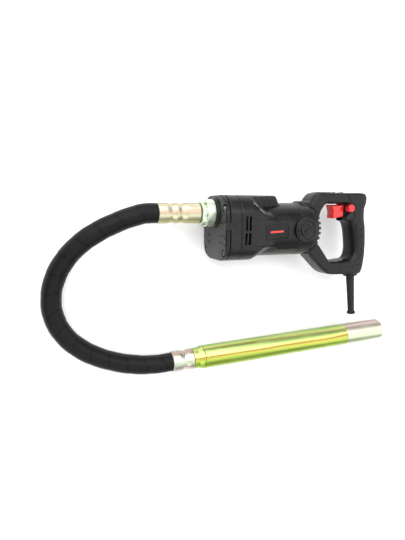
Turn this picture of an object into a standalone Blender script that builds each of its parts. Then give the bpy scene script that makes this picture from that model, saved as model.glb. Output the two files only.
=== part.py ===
"""Hand-held electric concrete vibrator: motor unit, flexible hose and poker head.

The tool lies on its side. +X runs along the motor from the hose to the D-handle, +Y is the
tool's own top, +Z is up, and the floor is Z = 0. The origin is on the floor under the motor
shaft, in the middle of the gear case's side. Sizes are millimetres, and mm() makes them metres.
Places along X are counted from a plane ORIGIN_X in front of the origin.
"""

import math

import bmesh
import bpy
from mathutils import Matrix, Vector

# ---------------------------------------------------------------- driving dimensions, mm
GAP = 0.3                  # between pieces that touch
OVER = 1.0                 # how far a cutter runs past the face that it opens
ORIGIN_X = 23.0            # the origin's place in the lengths below

# motor housing, whose brush caps set how wide the tool is
HOUSING_R = 39.0
HOUSING_WALL = 3.0
HOUSING_REAR = 132.0
BOSS_PROUD = 4.5           # brush boss over the housing
CAP_PROUD = 1.5            # brush cap over its boss
REST = HOUSING_R + BOSS_PROUD + CAP_PROUD               # motor axis above the floor
BLOCK_TOP_END = 91.0       # raised block on top of the fan end
BLOCK_SLOPE = 14.0
BLOCK_HALF = 24.0
BLOCK_BOTTOM_END = 62.0
SLOT_WIDTH, SLOT_HEIGHT, SLOT_WEB = 3.0, 18.0, 2.0
SLOT_START, SLOT_LOW = 36.0, -19.0

# gear train
MODULE = 1.0
PINION_TEETH = 14
GEAR_TEETH = 34
ADDENDUM = 0.85
DEDENDUM = 1.25
PRESSURE_ANGLE = math.radians(20)
TOOTH_SHARE = 0.39         # tooth width at the pitch circle as a share of the pitch
CENTRES = MODULE * (PINION_TEETH + GEAR_TEETH) / 2
GEAR_TIP_R = MODULE * (GEAR_TEETH / 2 + ADDENDUM)
GEAR_START = 14.5
GEAR_WIDTH = 9.5
GEAR_END = GEAR_START + GEAR_WIDTH
GEAR_ROOM = 3.15           # from the gear's teeth to the case's roof
SPINDLE_R = 7.0
SPINDLE_SEAT_R = 6.0

# gear case
COVER_FRONT = 8.0
COVER_WALL = 3.5
COVER_REAR = 15.0
CASE_REAR = 31.0
BULKHEAD = 6.0             # wall behind the gears that holds the bearings
CASE_WALL = 4.0
CASE_TOP = CENTRES + GEAR_TIP_R + GEAR_ROOM + CASE_WALL
CASE_BOTTOM = -HOUSING_R - 4.0
SCREW_ACROSS = REST - 9.0
SCREW_R = 2.0
SCREW_HEAD_R = 3.8
SCREW_HEAD = 2.8
POCKET_R = SCREW_HEAD_R + 1.2

# nose
SPIGOT_R = 16.5
SPIGOT_BORE = 11.3
SPIGOT_FRONT = -6.5
FLANGE = 2.5               # how wide the spigot's flange is
NUT_R = 19.5
NUT_FRONT = -15.0
NUT_REAR = 4.5
NUT_LIP = 4.2
NUT_HEX = 7.5
NUT_HEX_R = NUT_R - 0.3
COLLAR_R = NUT_R + 1.5

# shafts and bearings
SHAFT_R = 6.5
SEAT_R = 5.0
PINION_SEAT_R = 4.0
REAR_SEAT_R = 4.0
FRONT_BEARING_R = 11.0
SPINDLE_BEARING_R = 10.5
REAR_BEARING_START, REAR_BEARING_R, REAR_BEARING_WIDTH = 149.0, 11.0, 7.0
SHOULDER = 1.5             # from a bearing to the shoulder beside it

# motor
FAN_START, FAN_WIDTH, FAN_HUB_R = CASE_REAR + 3.0, 10.0, 12.0
FAN_R = HOUSING_R - HOUSING_WALL - 3.0
FAN_BLADES = 9
SHEET = 1.6                # fan disc, fan blade and baffle
CORE_START, CORE_LENGTH = 58.0, 40.0
CORE_END = CORE_START + CORE_LENGTH
CORE_R = 20.5
STATOR_R = HOUSING_R - HOUSING_WALL - 0.8
AIR_GAP = 1.0
WINDING_R = 17.5
WINDING_LENGTH = 10.0
COIL_LENGTH = 8.0
COMMUTATOR_LENGTH, COMMUTATOR_R = 24.0, 12.5

# brushes, one each side of the motor axis
BRUSH_X = 134.0
BOSS_R = 17.0
BOSS_HEIGHT = HOUSING_R + BOSS_PROUD                    # from the motor axis
CAP_R = 9.5
CAP_THICK = 3.7
CAP_STUB_R = 7.2
CAP_STUB = 5.0
CAP_SLOT = 1.6
CAP_SLOT_TURN = math.radians(40)
CAP_TOP = BOSS_HEIGHT + CAP_PROUD
HOLDER_R = CAP_STUB_R
HOLDER_BORE = 5.2
HOLDER_START = COMMUTATOR_R + 2.5
BRUSH_SIDE = 7.0
BRUSH_LENGTH = 14.0
SPRING_R, SPRING_WIRE, SPRING_TURNS = 3.4, 0.45, 4

# handle
HANDLE_HALF = 18.0         # half thickness of the D
HANDLE_TOP = 55.3
TAIL_REAR = 160.0
GRIP_PAD_DEPTH = 3.5
GRIP_PAD_HALF = 9.0
HANDLE_SCREWS = [(196.0, 46.5), (250.0, -20.0), (214.0, -62.0)]
HANDLE_SCREW_R = 1.7
HANDLE_SCREW_HEAD_R = 3.2
HANDLE_SCREW_END = 10.0
HANDLE_SCREW_SEAT = 12.5   # depth of the head's seat, from the split
HANDLE_SCREW_HEAD = 2.5

# trigger, switch and lock button
TRIGGER_HALF = 9.0
TRIGGER_FRONT, TRIGGER_REAR = 200.0, 222.0
TRIGGER_LOW, TRIGGER_HIGH = 15.3, 36.7
TRIGGER_TRAVEL = 6.0
SWITCH_START = TRIGGER_REAR + TRIGGER_TRAVEL + 1.5
SWITCH_LENGTH = 21.5
SWITCH_LOW, SWITCH_HIGH = 19.0, 42.5
SWITCH_HALF = 8.3
SWITCH_ROOM = 1.2          # round the switch, inside the handle
CAVITY_HALF = 11.0
BUTTON_X, BUTTON_Y, BUTTON_R = 229.0, 31.0, 6.0
BUTTON_PROUD = 3.2
BUTTON_CLEARANCE = 0.5

# cable boot and cable clamp
BOOT_X, BOOT_Y = 246.2, -73.5
BOOT_LEAN = math.radians(4.7)
BOOT_LENGTH = 68.0
BOOT_TOP_R, BOOT_END_R, BOOT_FLARE_R, CABLE_R = 6.6, 5.1, 6.8, 3.4
BOOT_FLANGE_R = 9.0
BOOT_FLANGE = 4.4
BOOT_FLANGE_DEPTH = 4.0    # from the handle's face
BOOT_COLLAR_R = BOOT_FLANGE_R + 2.5
CLAMP_LOW, CLAMP_HIGH = (238.0, -61.0, -7.5), (254.0, -56.0, 7.5)
CLAMP_ROOM = (1.5, 3.0, 1.5)

# hose and flexible shaft
HOSE_R, HOSE_WALL = 14.0, 5.2
HOSE_SPACING = 24.0
LINER_R, LINER_WALL = HOSE_R - HOSE_WALL - 0.8, 1.6
FLEX_R = 5.0
FLEX_INTO_MOTOR, FLEX_INTO_HEAD = 16.0, 14.5
FERRULE_R, FERRULE_BORE = 14.3, 10.3
FERRULE_START, FERRULE_END = -76.0, NUT_FRONT - 0.4
FERRULE_WAISTS = (-42.5, -56.5)
WAIST_DEPTH, WAIST_HALF = 1.5, 3.2
FITTING_R, FITTING_BORE = 10.0, 7.3
FITTING_INSET = 2.0        # the fitting stops this far inside the hose end
NECK_WALL_R = FERRULE_R - 1.5
DRIVE_R = 6.5

# head
HEAD_X, HEAD_Y = -49.8, -198.8
HEAD_TURN = math.radians(2.6)
HEAD_R = 17.5
HEAD_WALL = 2.5
HEAD_BORE = HEAD_R - HEAD_WALL
HEAD_FERRULE_R, HEAD_FERRULE_LENGTH, HEAD_WAIST = 15.8, 33.0, 19.5
NECK_R, NECK_END, SHOULDER_END = 15.2, 41.0, 50.0
SPIGOT_LENGTH = 12.0
TIP_START, HEAD_END = 307.0, 382.0
TIP_CHAMFER = 2.5
ROTOR_SHAFT_R = 6.0
WEIGHT_R, WEIGHT_START, WEIGHT_END = 12.0, 95.0, 265.0
HEAD_BEARING_WIDTH = 12.0
SEAL_WIDTH = 7.0

# the hose's centre line, straight where it leaves either ferrule
HOSE_ROUTE = [
    (-76.3, 24.0, 45.0), (-84.3, 24.0, 45.0), (-96.0, 22.8, 45.0), (-109.5, 19.3, 44.7),
    (-124.0, 14.2, 43.9), (-139.5, 7.6, 42.4), (-155.0, -0.4, 39.8), (-170.7, -10.6, 36.2),
    (-185.6, -23.6, 31.8), (-198.8, -39.6, 26.8), (-209.6, -59.0, 21.8), (-216.2, -81.5, 17.6),
    (-217.0, -105.5, 15.0), (-210.8, -128.6, 14.2), (-198.2, -149.2, 14.2),
    (-180.4, -166.0, 14.2), (-160.2, -178.8, 14.2), (-139.0, -188.0, 14.4),
    (-117.0, -194.6, 15.2), (-95.0, -198.4, 16.4), (-75.0, -199.7, 17.3),
    (-58.09, -199.18, 17.5), (-50.1, -198.81, 17.5),
]

# outlines in the tool's side plane, measured from the motor axis
HANDLE_OUTLINE = [
    (146, HOUSING_R - 0.6), (156, HOUSING_R + 1.5), (166.5, HANDLE_TOP - 2.3),
    (171, HANDLE_TOP), (254, HANDLE_TOP), (260, HANDLE_TOP - 2.3), (264, HANDLE_TOP - 8.3),
    (263, 41.5), (259.5, 37), (259.8, 28), (261.5, 15), (263.5, 0), (264.5, -20),
    (263.5, -38), (261.5, -54), (258, -70), (253, -73.5), (204, -73), (193, -71),
    (182, -64), (156, -HOUSING_R), (146, 0.6 - HOUSING_R),
]
OPENING_OUTLINE = [
    (172, 0), (172, -20), (194.6, -51), (210, -51), (230, -48.5), (237, -43), (238.5, -33),
    (235, -5), (232.5, 5), (227.5, 11), (219.5, 14), (210, 15), (210, 38), (187, 38),
    (174, 21),
]
GRIP_REAR = [(259.8, 28), (261.5, 15), (263.5, 0), (264.5, -20), (263.5, -38), (261.5, -54)]
CASE_SIDE = [(24, CASE_TOP), (33, CASE_TOP - 4.5), (REST - 4, 36), (REST, 26), (REST, -24),
             (REST - 4, -34), (30, CASE_BOTTOM + 2), (20, CASE_BOTTOM)]
CAVITY_SIDE = [(20, CASE_TOP - CASE_WALL), (28, CASE_TOP - 9), (28, 25),
               (REST - CASE_WALL, 21), (REST - CASE_WALL, -19), (27, -24),
               (24, CASE_BOTTOM + 8), (15, CASE_BOTTOM + CASE_WALL)]
CASE_SCREWS = [(SCREW_ACROSS, 30.0), (SCREW_ACROSS - 2, -31.0)]   # mirrored sideways


def mm(value):
    """Metres from millimetres, for a number or a sequence of them."""
    return value * 0.001 if isinstance(value, (int, float)) else tuple(v * 0.001 for v in value)


# ---------------------------------------------------------------- scene, frames, materials
for old in list(bpy.data.objects):
    bpy.data.objects.remove(old, do_unlink=True)

PARTS = bpy.data.collections.new("concrete_vibrator")
CUTTERS = bpy.data.collections.new("cutters")
bpy.context.scene.collection.children.link(PARTS)
bpy.context.scene.collection.children.link(CUTTERS)


def frame(name, location, matrix=None):
    """An empty that parts are measured from; matrix turns its axes."""
    empty = bpy.data.objects.new(name, None)
    place = Vector(mm(location)) - Vector(mm((ORIGIN_X, 0, 0)))
    empty.matrix_world = Matrix.Translation(place) @ (matrix or Matrix.Identity(4))
    PARTS.objects.link(empty)
    return empty


ALONG_X = Matrix.Rotation(math.pi / 2, 4, "Y")          # local Z becomes +X, local Y stays
BODY = frame("body_frame", (0, 0, REST))
MOTOR = frame("motor_axis", (0, 0, REST), ALONG_X)
OUTPUT = frame("output_axis", (0, CENTRES, REST), ALONG_X)
HEAD = frame("head_axis", (HEAD_X, HEAD_Y, HEAD_R),
             Matrix.Rotation(HEAD_TURN, 4, "Z") @ ALONG_X)
BRUSH_NEAR = frame("brush_axis_near", (BRUSH_X, 0, REST))
BRUSH_FAR = frame("brush_axis_far", (BRUSH_X, 0, REST), Matrix.Rotation(math.pi, 4, "X"))
BOOT = frame("boot_axis", (BOOT_X, BOOT_Y, REST),
             Matrix.Rotation(BOOT_LEAN, 4, "Z") @ Matrix.Rotation(math.pi / 2, 4, "X"))
TRIGGER = frame("trigger_frame", (TRIGGER_REAR, 0, REST))
BUTTON = frame("button_axis", (BUTTON_X, BUTTON_Y, REST))
WORLD = frame("world_frame", (0, 0, 0))


def material(name, color, roughness, metallic=0.0):
    """A plain Principled finish."""
    made = bpy.data.materials.new(name)
    made.use_nodes = True
    shader = made.node_tree.nodes["Principled BSDF"]
    shader.inputs["Base Color"].default_value = (*color, 1.0)
    shader.inputs["Roughness"].default_value = roughness
    shader.inputs["Metallic"].default_value = metallic
    return made


CASE_PLASTIC = material("case_plastic", (0.035, 0.035, 0.037), 0.5)
GRIP_RUBBER = material("grip_rubber", (0.025, 0.025, 0.026), 0.8)
RED_PLASTIC = material("red_plastic", (0.75, 0.02, 0.02), 0.35)
HOSE_RUBBER = material("hose_rubber", (0.02, 0.02, 0.02), 0.6)
PALE_ZINC = material("pale_zinc", (0.70, 0.78, 0.66), 0.3, 1.0)
GOLD_ZINC = material("gold_zinc", (0.72, 0.66, 0.42), 0.28, 1.0)
GREEN_ZINC = material("green_zinc", (0.66, 0.74, 0.32), 0.3, 1.0)
STEEL = material("steel", (0.55, 0.55, 0.56), 0.35, 1.0)
DARK_STEEL = material("dark_steel", (0.10, 0.10, 0.11), 0.45, 1.0)
LAMINATIONS = material("laminations", (0.22, 0.22, 0.24), 0.5, 1.0)
COPPER = material("copper", (0.80, 0.38, 0.18), 0.35, 1.0)
BRASS = material("brass", (0.78, 0.60, 0.25), 0.35, 1.0)
CARBON = material("carbon", (0.03, 0.03, 0.03), 0.7)
NYLON = material("nylon", (0.08, 0.08, 0.09), 0.55)


# ---------------------------------------------------------------- shape helpers
def add(name, data, finish, parent, location=(0, 0, 0), guide=False):
    """Link one object under a frame, location in millimetres from it."""
    made = bpy.data.objects.new(name, data)
    made.parent = parent
    made.location = mm(location)
    (CUTTERS if guide else PARTS).objects.link(made)
    if guide:
        made.hide_render = True
        made.display_type = "WIRE"
    elif finish is not None:
        data.materials.append(finish)
    return made


def from_bmesh(name, bm):
    """A mesh out of a bmesh, which is freed."""
    mesh = bpy.data.meshes.new(name)
    bm.to_mesh(mesh)
    bm.free()
    return mesh


def turned(name, profile, finish, parent, closed=False, steps=16, location=(0, 0, 0),
           guide=False):
    """A turned piece about the frame's local Z.

    profile holds (place along the axis, radius) pairs, which run down the outer side from the
    far end to the near end. A closed profile then comes back up the inner side.
    """
    bm = bmesh.new()
    corners = [bm.verts.new(mm((radius, 0.0, along))) for along, radius in profile]
    pairs = list(zip(corners, corners[1:]))
    if closed:
        pairs.append((corners[-1], corners[0]))
    for start, end in pairs:
        bm.edges.new((start, end))
    made = add(name, from_bmesh(name, bm), finish, parent, location, guide)
    screw = made.modifiers.new("turn", "SCREW")
    screw.axis = "Z"
    screw.angle = 2 * math.pi
    screw.steps = screw.render_steps = steps
    screw.use_merge_vertices = True
    screw.merge_threshold = 0.00001
    screw.use_smooth_shade = True
    return made


def rod(name, low, high, radius, finish, parent, **options):
    """A plain round bar between two places on the frame's axis."""
    profile = [(high, 0), (high, radius), (low, radius), (low, 0)]
    return turned(name, profile, finish, parent, **options)


def ring(name, low, high, bore, radius, finish, parent, **options):
    """A plain round ring between two places on the frame's axis."""
    profile = [(high, radius), (low, radius), (low, bore), (high, bore)]
    return turned(name, profile, finish, parent, closed=True, **options)


def block(name, low, high, finish, parent, bevel=0.0, guide=False):
    """A box between two corners, with rounded edges where bevel is given."""
    bm = bmesh.new()
    bmesh.ops.create_cube(bm, size=1.0)
    size = [high[i] - low[i] for i in range(3)]
    bmesh.ops.scale(bm, vec=Vector(mm(size)), verts=bm.verts)
    centre = [(high[i] + low[i]) / 2 for i in range(3)]
    made = add(name, from_bmesh(name, bm), finish, parent, centre, guide)
    if bevel:
        soften(made, bevel)
    return made


def soften(piece, width, segments=1):
    """Round a piece's sharp edges."""
    made = piece.modifiers.new("edges", "BEVEL")
    made.width = mm(width)
    made.segments = segments
    made.limit_method = "ANGLE"
    made.angle_limit = math.radians(40)


def curve_to_mesh(curve_object, name, finish, parent, guide):
    """Replace a curve object with its mesh, its caps welded and its faces pointing out."""
    bpy.context.view_layer.update()
    evaluated = curve_object.evaluated_get(bpy.context.evaluated_depsgraph_get())
    mesh = bpy.data.meshes.new_from_object(evaluated)
    mesh.name = name
    mesh.materials.clear()
    bm = bmesh.new()
    bm.from_mesh(mesh)
    bmesh.ops.remove_doubles(bm, verts=bm.verts, dist=0.00001)
    bmesh.ops.recalc_face_normals(bm, faces=bm.faces)
    bm.to_mesh(mesh)
    bm.free()
    place = curve_object.matrix_world.copy()
    bpy.data.objects.remove(curve_object, do_unlink=True)
    made = add(name, mesh, finish, parent, guide=guide)
    bpy.context.view_layer.update()
    made.matrix_world = place
    return made


def plate(name, outlines, low, high, finish, parent, guide=False):
    """A flat piece: closed outlines in the frame's XY plane, from low to high along Z."""
    flat = bpy.data.curves.new(name, "CURVE")
    flat.dimensions = "2D"
    flat.fill_mode = "BOTH"
    flat.extrude = mm((high - low) / 2)
    for outline in outlines:
        spline = flat.splines.new("POLY")
        spline.points.add(len(outline) - 1)
        for point, (x, y) in zip(spline.points, outline):
            point.co = (*mm((x, y)), 0.0, 1.0)
        spline.use_cyclic_u = True
    made = add(name + "_outline", flat, None, parent, (0, 0, (low + high) / 2), guide=True)
    return curve_to_mesh(made, name, finish, parent, guide)


def tube(name, points, radius, finish, parent, wall=0.0, sides=12, guide=False):
    """A round bar along points, or with a wall an open-ended tube of that outer radius."""
    line = bpy.data.curves.new(name, "CURVE")
    line.dimensions = "3D"
    line.bevel_depth = mm(radius)
    line.bevel_resolution = (sides - 4) // 2
    line.use_fill_caps = not wall
    spline = line.splines.new("POLY")
    spline.points.add(len(points) - 1)
    for point, place in zip(spline.points, points):
        point.co = (*mm(place), 1.0)
    made = add(name + "_line", line, None, parent, guide=True)
    piece = curve_to_mesh(made, name, finish, parent, guide)
    if wall:
        shell = piece.modifiers.new("wall", "SOLIDIFY")
        shell.thickness = mm(wall)
        shell.offset = -1.0
        shell.use_even_offset = True
    return piece


def combine(piece, other, operation):
    """Cut a piece with another, join them or keep what they share."""
    made = piece.modifiers.new(operation.lower(), "BOOLEAN")
    made.object = other
    made.operation = operation
    made.solver = "EXACT"


def cut(piece, *cutters):
    """Take each cutter out of a piece."""
    for cutter in cutters:
        combine(piece, cutter, "DIFFERENCE")


def join(piece, *others):
    """Make one body of a piece and the others."""
    for other in others:
        combine(piece, other, "UNION")


def mirrored(side):
    """A closed outline from its right-hand side, which runs from top to bottom."""
    return side + [(-x, y) for x, y in reversed(side)]


def smooth_line(points, spacing):
    """Points about spacing apart on a Catmull-Rom curve through the given points."""
    ends = [Vector(points[0]) * 2 - Vector(points[1])]
    ends += [Vector(p) for p in points]
    ends.append(Vector(points[-1]) * 2 - Vector(points[-2]))
    fine = []
    for a, b, c, d in zip(ends, ends[1:], ends[2:], ends[3:]):
        for step in range(8):
            t = step / 8
            fine.append(0.5 * (2 * b + (c - a) * t + (2 * a - 5 * b + 4 * c - d) * t * t
                               + (3 * b - a - 3 * c + d) * t ** 3))
    fine.append(ends[-2])
    lengths = [0.0]
    for start, end in zip(fine, fine[1:]):
        lengths.append(lengths[-1] + (end - start).length)
    count = max(2, round(lengths[-1] / spacing))
    line, index = [], 0
    for step in range(count + 1):
        target = lengths[-1] * step / count
        while index < len(fine) - 2 and lengths[index + 1] < target:
            index += 1
        share = (target - lengths[index]) / (lengths[index + 1] - lengths[index])
        line.append(fine[index].lerp(fine[index + 1], share))
    return line


def gear_outline(teeth, turn):
    """A spur gear's outline: four corners a tooth, its first tooth at the angle turn."""
    pitch_r = MODULE * teeth / 2
    tip_r = pitch_r + ADDENDUM * MODULE
    root_r = pitch_r - DEDENDUM * MODULE
    half = TOOTH_SHARE * math.pi / teeth
    slope = math.tan(PRESSURE_ANGLE) / pitch_r
    corners = []
    for tooth in range(teeth):
        middle = turn + 2 * math.pi * tooth / teeth
        root_half = half + slope * (pitch_r - root_r)
        tip_half = half - slope * (tip_r - pitch_r)
        for radius, angle in ((root_r, middle - root_half), (tip_r, middle - tip_half),
                              (tip_r, middle + tip_half), (root_r, middle + root_half)):
            corners.append((radius * math.cos(angle), radius * math.sin(angle)))
    return corners


def circle_outline(radius, steps=16):
    """A closed round outline about the frame's axis."""
    angles = [2 * math.pi * i / steps for i in range(steps)]
    return [(radius * math.cos(angle), radius * math.sin(angle)) for angle in angles]


# ---------------------------------------------------------------- gear case and nose
def case_holes(low, high):
    """Cutters for the four long screws that hold the cover and the case."""
    holes = []
    for across, up in CASE_SCREWS:
        for side in (1, -1):
            holes.append(rod(f"screw_hole_{side}_{up:.0f}_{low:.0f}", low, high,
                             SCREW_R + GAP, None, MOTOR, location=(side * across, up, 0),
                             steps=12, guide=True))
    return holes


def gear_cover():
    """The front cover, with its collar round the output spindle."""
    inside = COVER_FRONT + COVER_WALL
    cover = plate("gear_cover", [mirrored(CASE_SIDE)], COVER_FRONT, COVER_REAR,
                  CASE_PLASTIC, MOTOR)
    collar = rod("cover_collar", NUT_REAR + 0.5, COVER_FRONT + OVER, COLLAR_R, None, OUTPUT,
                 guide=True)
    hollow = plate("cover_hollow", [mirrored(CAVITY_SIDE)], inside, COVER_REAR + OVER, None,
                   MOTOR, guide=True)
    nose_hole = rod("cover_nose_hole", NUT_REAR - OVER, inside + OVER, SPIGOT_R + GAP, None,
                    OUTPUT, guide=True)
    pockets = [rod(f"cover_pocket_{side}_{up:.0f}", COVER_FRONT - OVER,
                   COVER_FRONT + SCREW_HEAD + GAP, POCKET_R, None, MOTOR,
                   location=(side * across, up, 0), steps=12, guide=True)
               for across, up in CASE_SCREWS for side in (1, -1)]
    join(cover, collar)
    cut(cover, hollow, *case_holes(COVER_FRONT + OVER, COVER_REAR + OVER), *pockets, nose_hole)


def gear_case():
    """The case behind the cover, with the bulkhead that seats two bearings."""
    start = COVER_REAR + GAP
    case = plate("gear_case", [mirrored(CASE_SIDE)], start, CASE_REAR, CASE_PLASTIC, MOTOR)
    hollow = plate("case_hollow", [mirrored(CAVITY_SIDE)], start - OVER, CASE_REAR - BULKHEAD,
                   None, MOTOR, guide=True)
    front_seat = rod("case_bearing_seat", start, CASE_REAR + OVER, FRONT_BEARING_R + GAP, None,
                     MOTOR, guide=True)
    spindle_seat = rod("case_spindle_seat", start, CASE_REAR - 0.8,
                       SPINDLE_BEARING_R + GAP, None, OUTPUT, guide=True)
    cut(case, hollow, front_seat, spindle_seat, *case_holes(start - OVER, CASE_REAR - 2))


def case_screws():
    """Four screws that clamp the cover to the case."""
    number = 0
    head_end = COVER_FRONT + SCREW_HEAD
    for across, up in CASE_SCREWS:
        for side in (1, -1):
            number += 1
            profile = [(CASE_REAR - 3, 0), (CASE_REAR - 3, SCREW_R), (head_end, SCREW_R),
                       (head_end, SCREW_HEAD_R), (COVER_FRONT + 0.6, SCREW_HEAD_R),
                       (COVER_FRONT + 0.2, SCREW_HEAD_R - 0.4), (COVER_FRONT + 0.2, 0)]
            turned(f"gear_cover_screw_{number}", profile, STEEL, MOTOR, steps=12,
                   location=(side * across, up, 0))


def nose():
    """The threaded spigot, and the coupling nut that pulls the hose fitting onto it."""
    back = COVER_FRONT + COVER_WALL + GAP
    end = back + 2
    spigot = [(end, SPIGOT_R + FLANGE), (back, SPIGOT_R + FLANGE), (back, SPIGOT_R),
              (SPIGOT_FRONT, SPIGOT_R), (SPIGOT_FRONT, SPIGOT_BORE), (end, SPIGOT_BORE)]
    turned("nose_spigot", spigot, STEEL, OUTPUT, closed=True)
    hex_end = NUT_FRONT + NUT_HEX
    nut = rod("coupling_nut", hex_end, NUT_REAR, NUT_R, PALE_ZINC, OUTPUT, steps=36)
    soften(nut, 1.0)
    hexagon = rod("nut_hexagon", NUT_FRONT, hex_end + OVER, NUT_HEX_R, None, OUTPUT, steps=6,
                  guide=True)
    lip, lip_bore = NUT_FRONT + NUT_LIP, NECK_WALL_R + GAP
    bore = [(NUT_REAR + OVER, 0), (NUT_REAR + OVER, SPIGOT_R + GAP), (lip, SPIGOT_R + GAP),
            (lip, lip_bore), (NUT_FRONT - OVER, lip_bore), (NUT_FRONT - OVER, 0)]
    join(nut, hexagon)
    cut(nut, turned("nut_bore", bore, None, OUTPUT, guide=True))


def gears():
    """Pinion, gear, spindle and their bearings."""
    half_tooth = math.pi / GEAR_TEETH
    plate("pinion", [gear_outline(PINION_TEETH, math.pi / 2),
                     circle_outline(PINION_SEAT_R + GAP)],
          GEAR_START, GEAR_END, STEEL, MOTOR)
    plate("output_gear", [gear_outline(GEAR_TEETH, half_tooth - math.pi / 2),
                          circle_outline(SPINDLE_R + GAP)],
          GEAR_START, GEAR_END, STEEL, OUTPUT)
    front, rear = SPIGOT_FRONT - 1, CASE_REAR - 1.2
    seat, shoulder = GEAR_END + GAP, GEAR_START - 0.4
    turned("output_spindle", [
        (rear, 0), (rear, SPINDLE_SEAT_R), (seat, SPINDLE_SEAT_R), (seat, SPINDLE_R),
        (shoulder, SPINDLE_R), (shoulder, SPINDLE_SEAT_R), (front, SPINDLE_SEAT_R), (front, 0)],
        DARK_STEEL, OUTPUT)
    bore = SPINDLE_SEAT_R + GAP
    ring("spindle_bearing_front", 4, 12, bore, SPINDLE_BEARING_R, STEEL, OUTPUT)
    ring("spindle_bearing_rear", GEAR_END + 1, rear, bore, SPINDLE_BEARING_R, STEEL, OUTPUT)
    ring("motor_bearing_front", CASE_REAR - BULKHEAD, CASE_REAR, SEAT_R + GAP, FRONT_BEARING_R,
         STEEL, MOTOR)


# ---------------------------------------------------------------- motor
def motor_housing():
    """The tube round the motor, its raised fan end, brush bosses and air slots."""
    start = CASE_REAR + GAP
    housing = rod("motor_housing", start + 1, HOUSING_REAR, HOUSING_R, CASE_PLASTIC, MOTOR,
                  steps=36)
    collar = plate("housing_collar", [mirrored(CASE_SIDE)], start, BLOCK_BOTTOM_END, None,
                   MOTOR, guide=True)
    slope = BLOCK_TOP_END + BLOCK_SLOPE
    top_block = plate("housing_top_block", [[
        (start + 1, 0), (start + 1, CASE_TOP), (BLOCK_TOP_END, CASE_TOP - 0.5),
        (slope, HOUSING_R - 1), (slope, 0)]], -BLOCK_HALF, BLOCK_HALF, None, BODY, guide=True)
    bosses = [rod(f"brush_boss_{index}", HOUSING_R - 11, BOSS_HEIGHT, BOSS_R, None, axis,
                  guide=True) for index, axis in enumerate((BRUSH_NEAR, BRUSH_FAR))]
    bore = rod("housing_bore", start - OVER, BRUSH_X + BOSS_R + 6, HOUSING_R - HOUSING_WALL,
               None, MOTOR, steps=36, guide=True)
    join(housing, collar, top_block, *bosses)
    cut(housing, bore)
    for sign, name in ((1, "near"), (-1, "far")):
        near, far = sorted((sign * 26, sign * (REST + OVER)))
        for row in range(2):
            low = SLOT_LOW + row * (SLOT_HEIGHT + SLOT_WIDTH)
            for column in range(2):
                left = SLOT_START + column * (SLOT_WIDTH + SLOT_WEB)
                cut(housing, block(f"air_slot_{name}_{row}_{column}", (left, low, near),
                                   (left + SLOT_WIDTH, low + SLOT_HEIGHT, far), None, BODY,
                                   guide=True))
    seat, mouth = CAP_TOP - CAP_THICK, BOSS_HEIGHT + OVER
    half = [(mouth, CAP_R + GAP), (seat, CAP_R + GAP), (seat, CAP_STUB_R + GAP)]
    through = [(mouth, 0)] + half + [(-z, r) for z, r in reversed(half)] + [(-mouth, 0)]
    cut(housing, turned("brush_bore", through, None, BRUSH_NEAR, guide=True))


def armature():
    """Shaft, laminated core, windings, commutator and fan: all turn together."""
    end = REAR_BEARING_START + REAR_BEARING_WIDTH + 1
    rear_shoulder, front_shoulder = REAR_BEARING_START - SHOULDER, CASE_REAR + SHOULDER
    pinion_seat = GEAR_END + GAP
    turned("armature_shaft", [
        (end, 0), (end, REAR_SEAT_R), (rear_shoulder, REAR_SEAT_R), (rear_shoulder, SHAFT_R),
        (front_shoulder, SHAFT_R), (front_shoulder, SEAT_R), (pinion_seat, SEAT_R),
        (pinion_seat, PINION_SEAT_R), (GEAR_START - SHOULDER, PINION_SEAT_R),
        (GEAR_START - SHOULDER, 0)], STEEL, MOTOR)
    bore = SHAFT_R + GAP
    ring("armature_core", CORE_START, CORE_END, bore, CORE_R, LAMINATIONS, MOTOR)
    for name, low in (("armature_winding_front", CORE_START - WINDING_LENGTH - GAP),
                      ("armature_winding_rear", CORE_END + GAP)):
        high = low + WINDING_LENGTH
        profile = [(high, WINDING_R - 2), (high - 3, WINDING_R), (low + 3, WINDING_R),
                   (low, WINDING_R - 2), (low, bore + 2), (high, bore + 2)]
        turned(name, profile, COPPER, MOTOR, closed=True)
    half = COMMUTATOR_LENGTH / 2
    ring("commutator", BRUSH_X - half, BRUSH_X + half, bore, COMMUTATOR_R, COPPER, MOTOR)
    fan = ring("cooling_fan", FAN_START, FAN_START + FAN_WIDTH, bore, FAN_HUB_R, NYLON, MOTOR)
    disc = ring("fan_disc", FAN_START, FAN_START + SHEET, FAN_HUB_R - OVER, FAN_R, None, MOTOR,
                guide=True)
    join(fan, disc)
    for index in range(FAN_BLADES):
        angle = 2 * math.pi * index / FAN_BLADES
        blade = block(f"fan_blade_{index}", (FAN_HUB_R - OVER, -SHEET / 2, FAN_START + SHEET / 2),
                      (FAN_R - 1, SHEET / 2, FAN_START + FAN_WIDTH), None, MOTOR, guide=True)
        blade.rotation_euler = (0, 0, angle)
        blade.location = Matrix.Rotation(angle, 3, "Z") @ blade.location
        join(fan, blade)
    ring("motor_bearing_rear", REAR_BEARING_START, REAR_BEARING_START + REAR_BEARING_WIDTH,
         REAR_SEAT_R + GAP, REAR_BEARING_R, STEEL, MOTOR)


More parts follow.
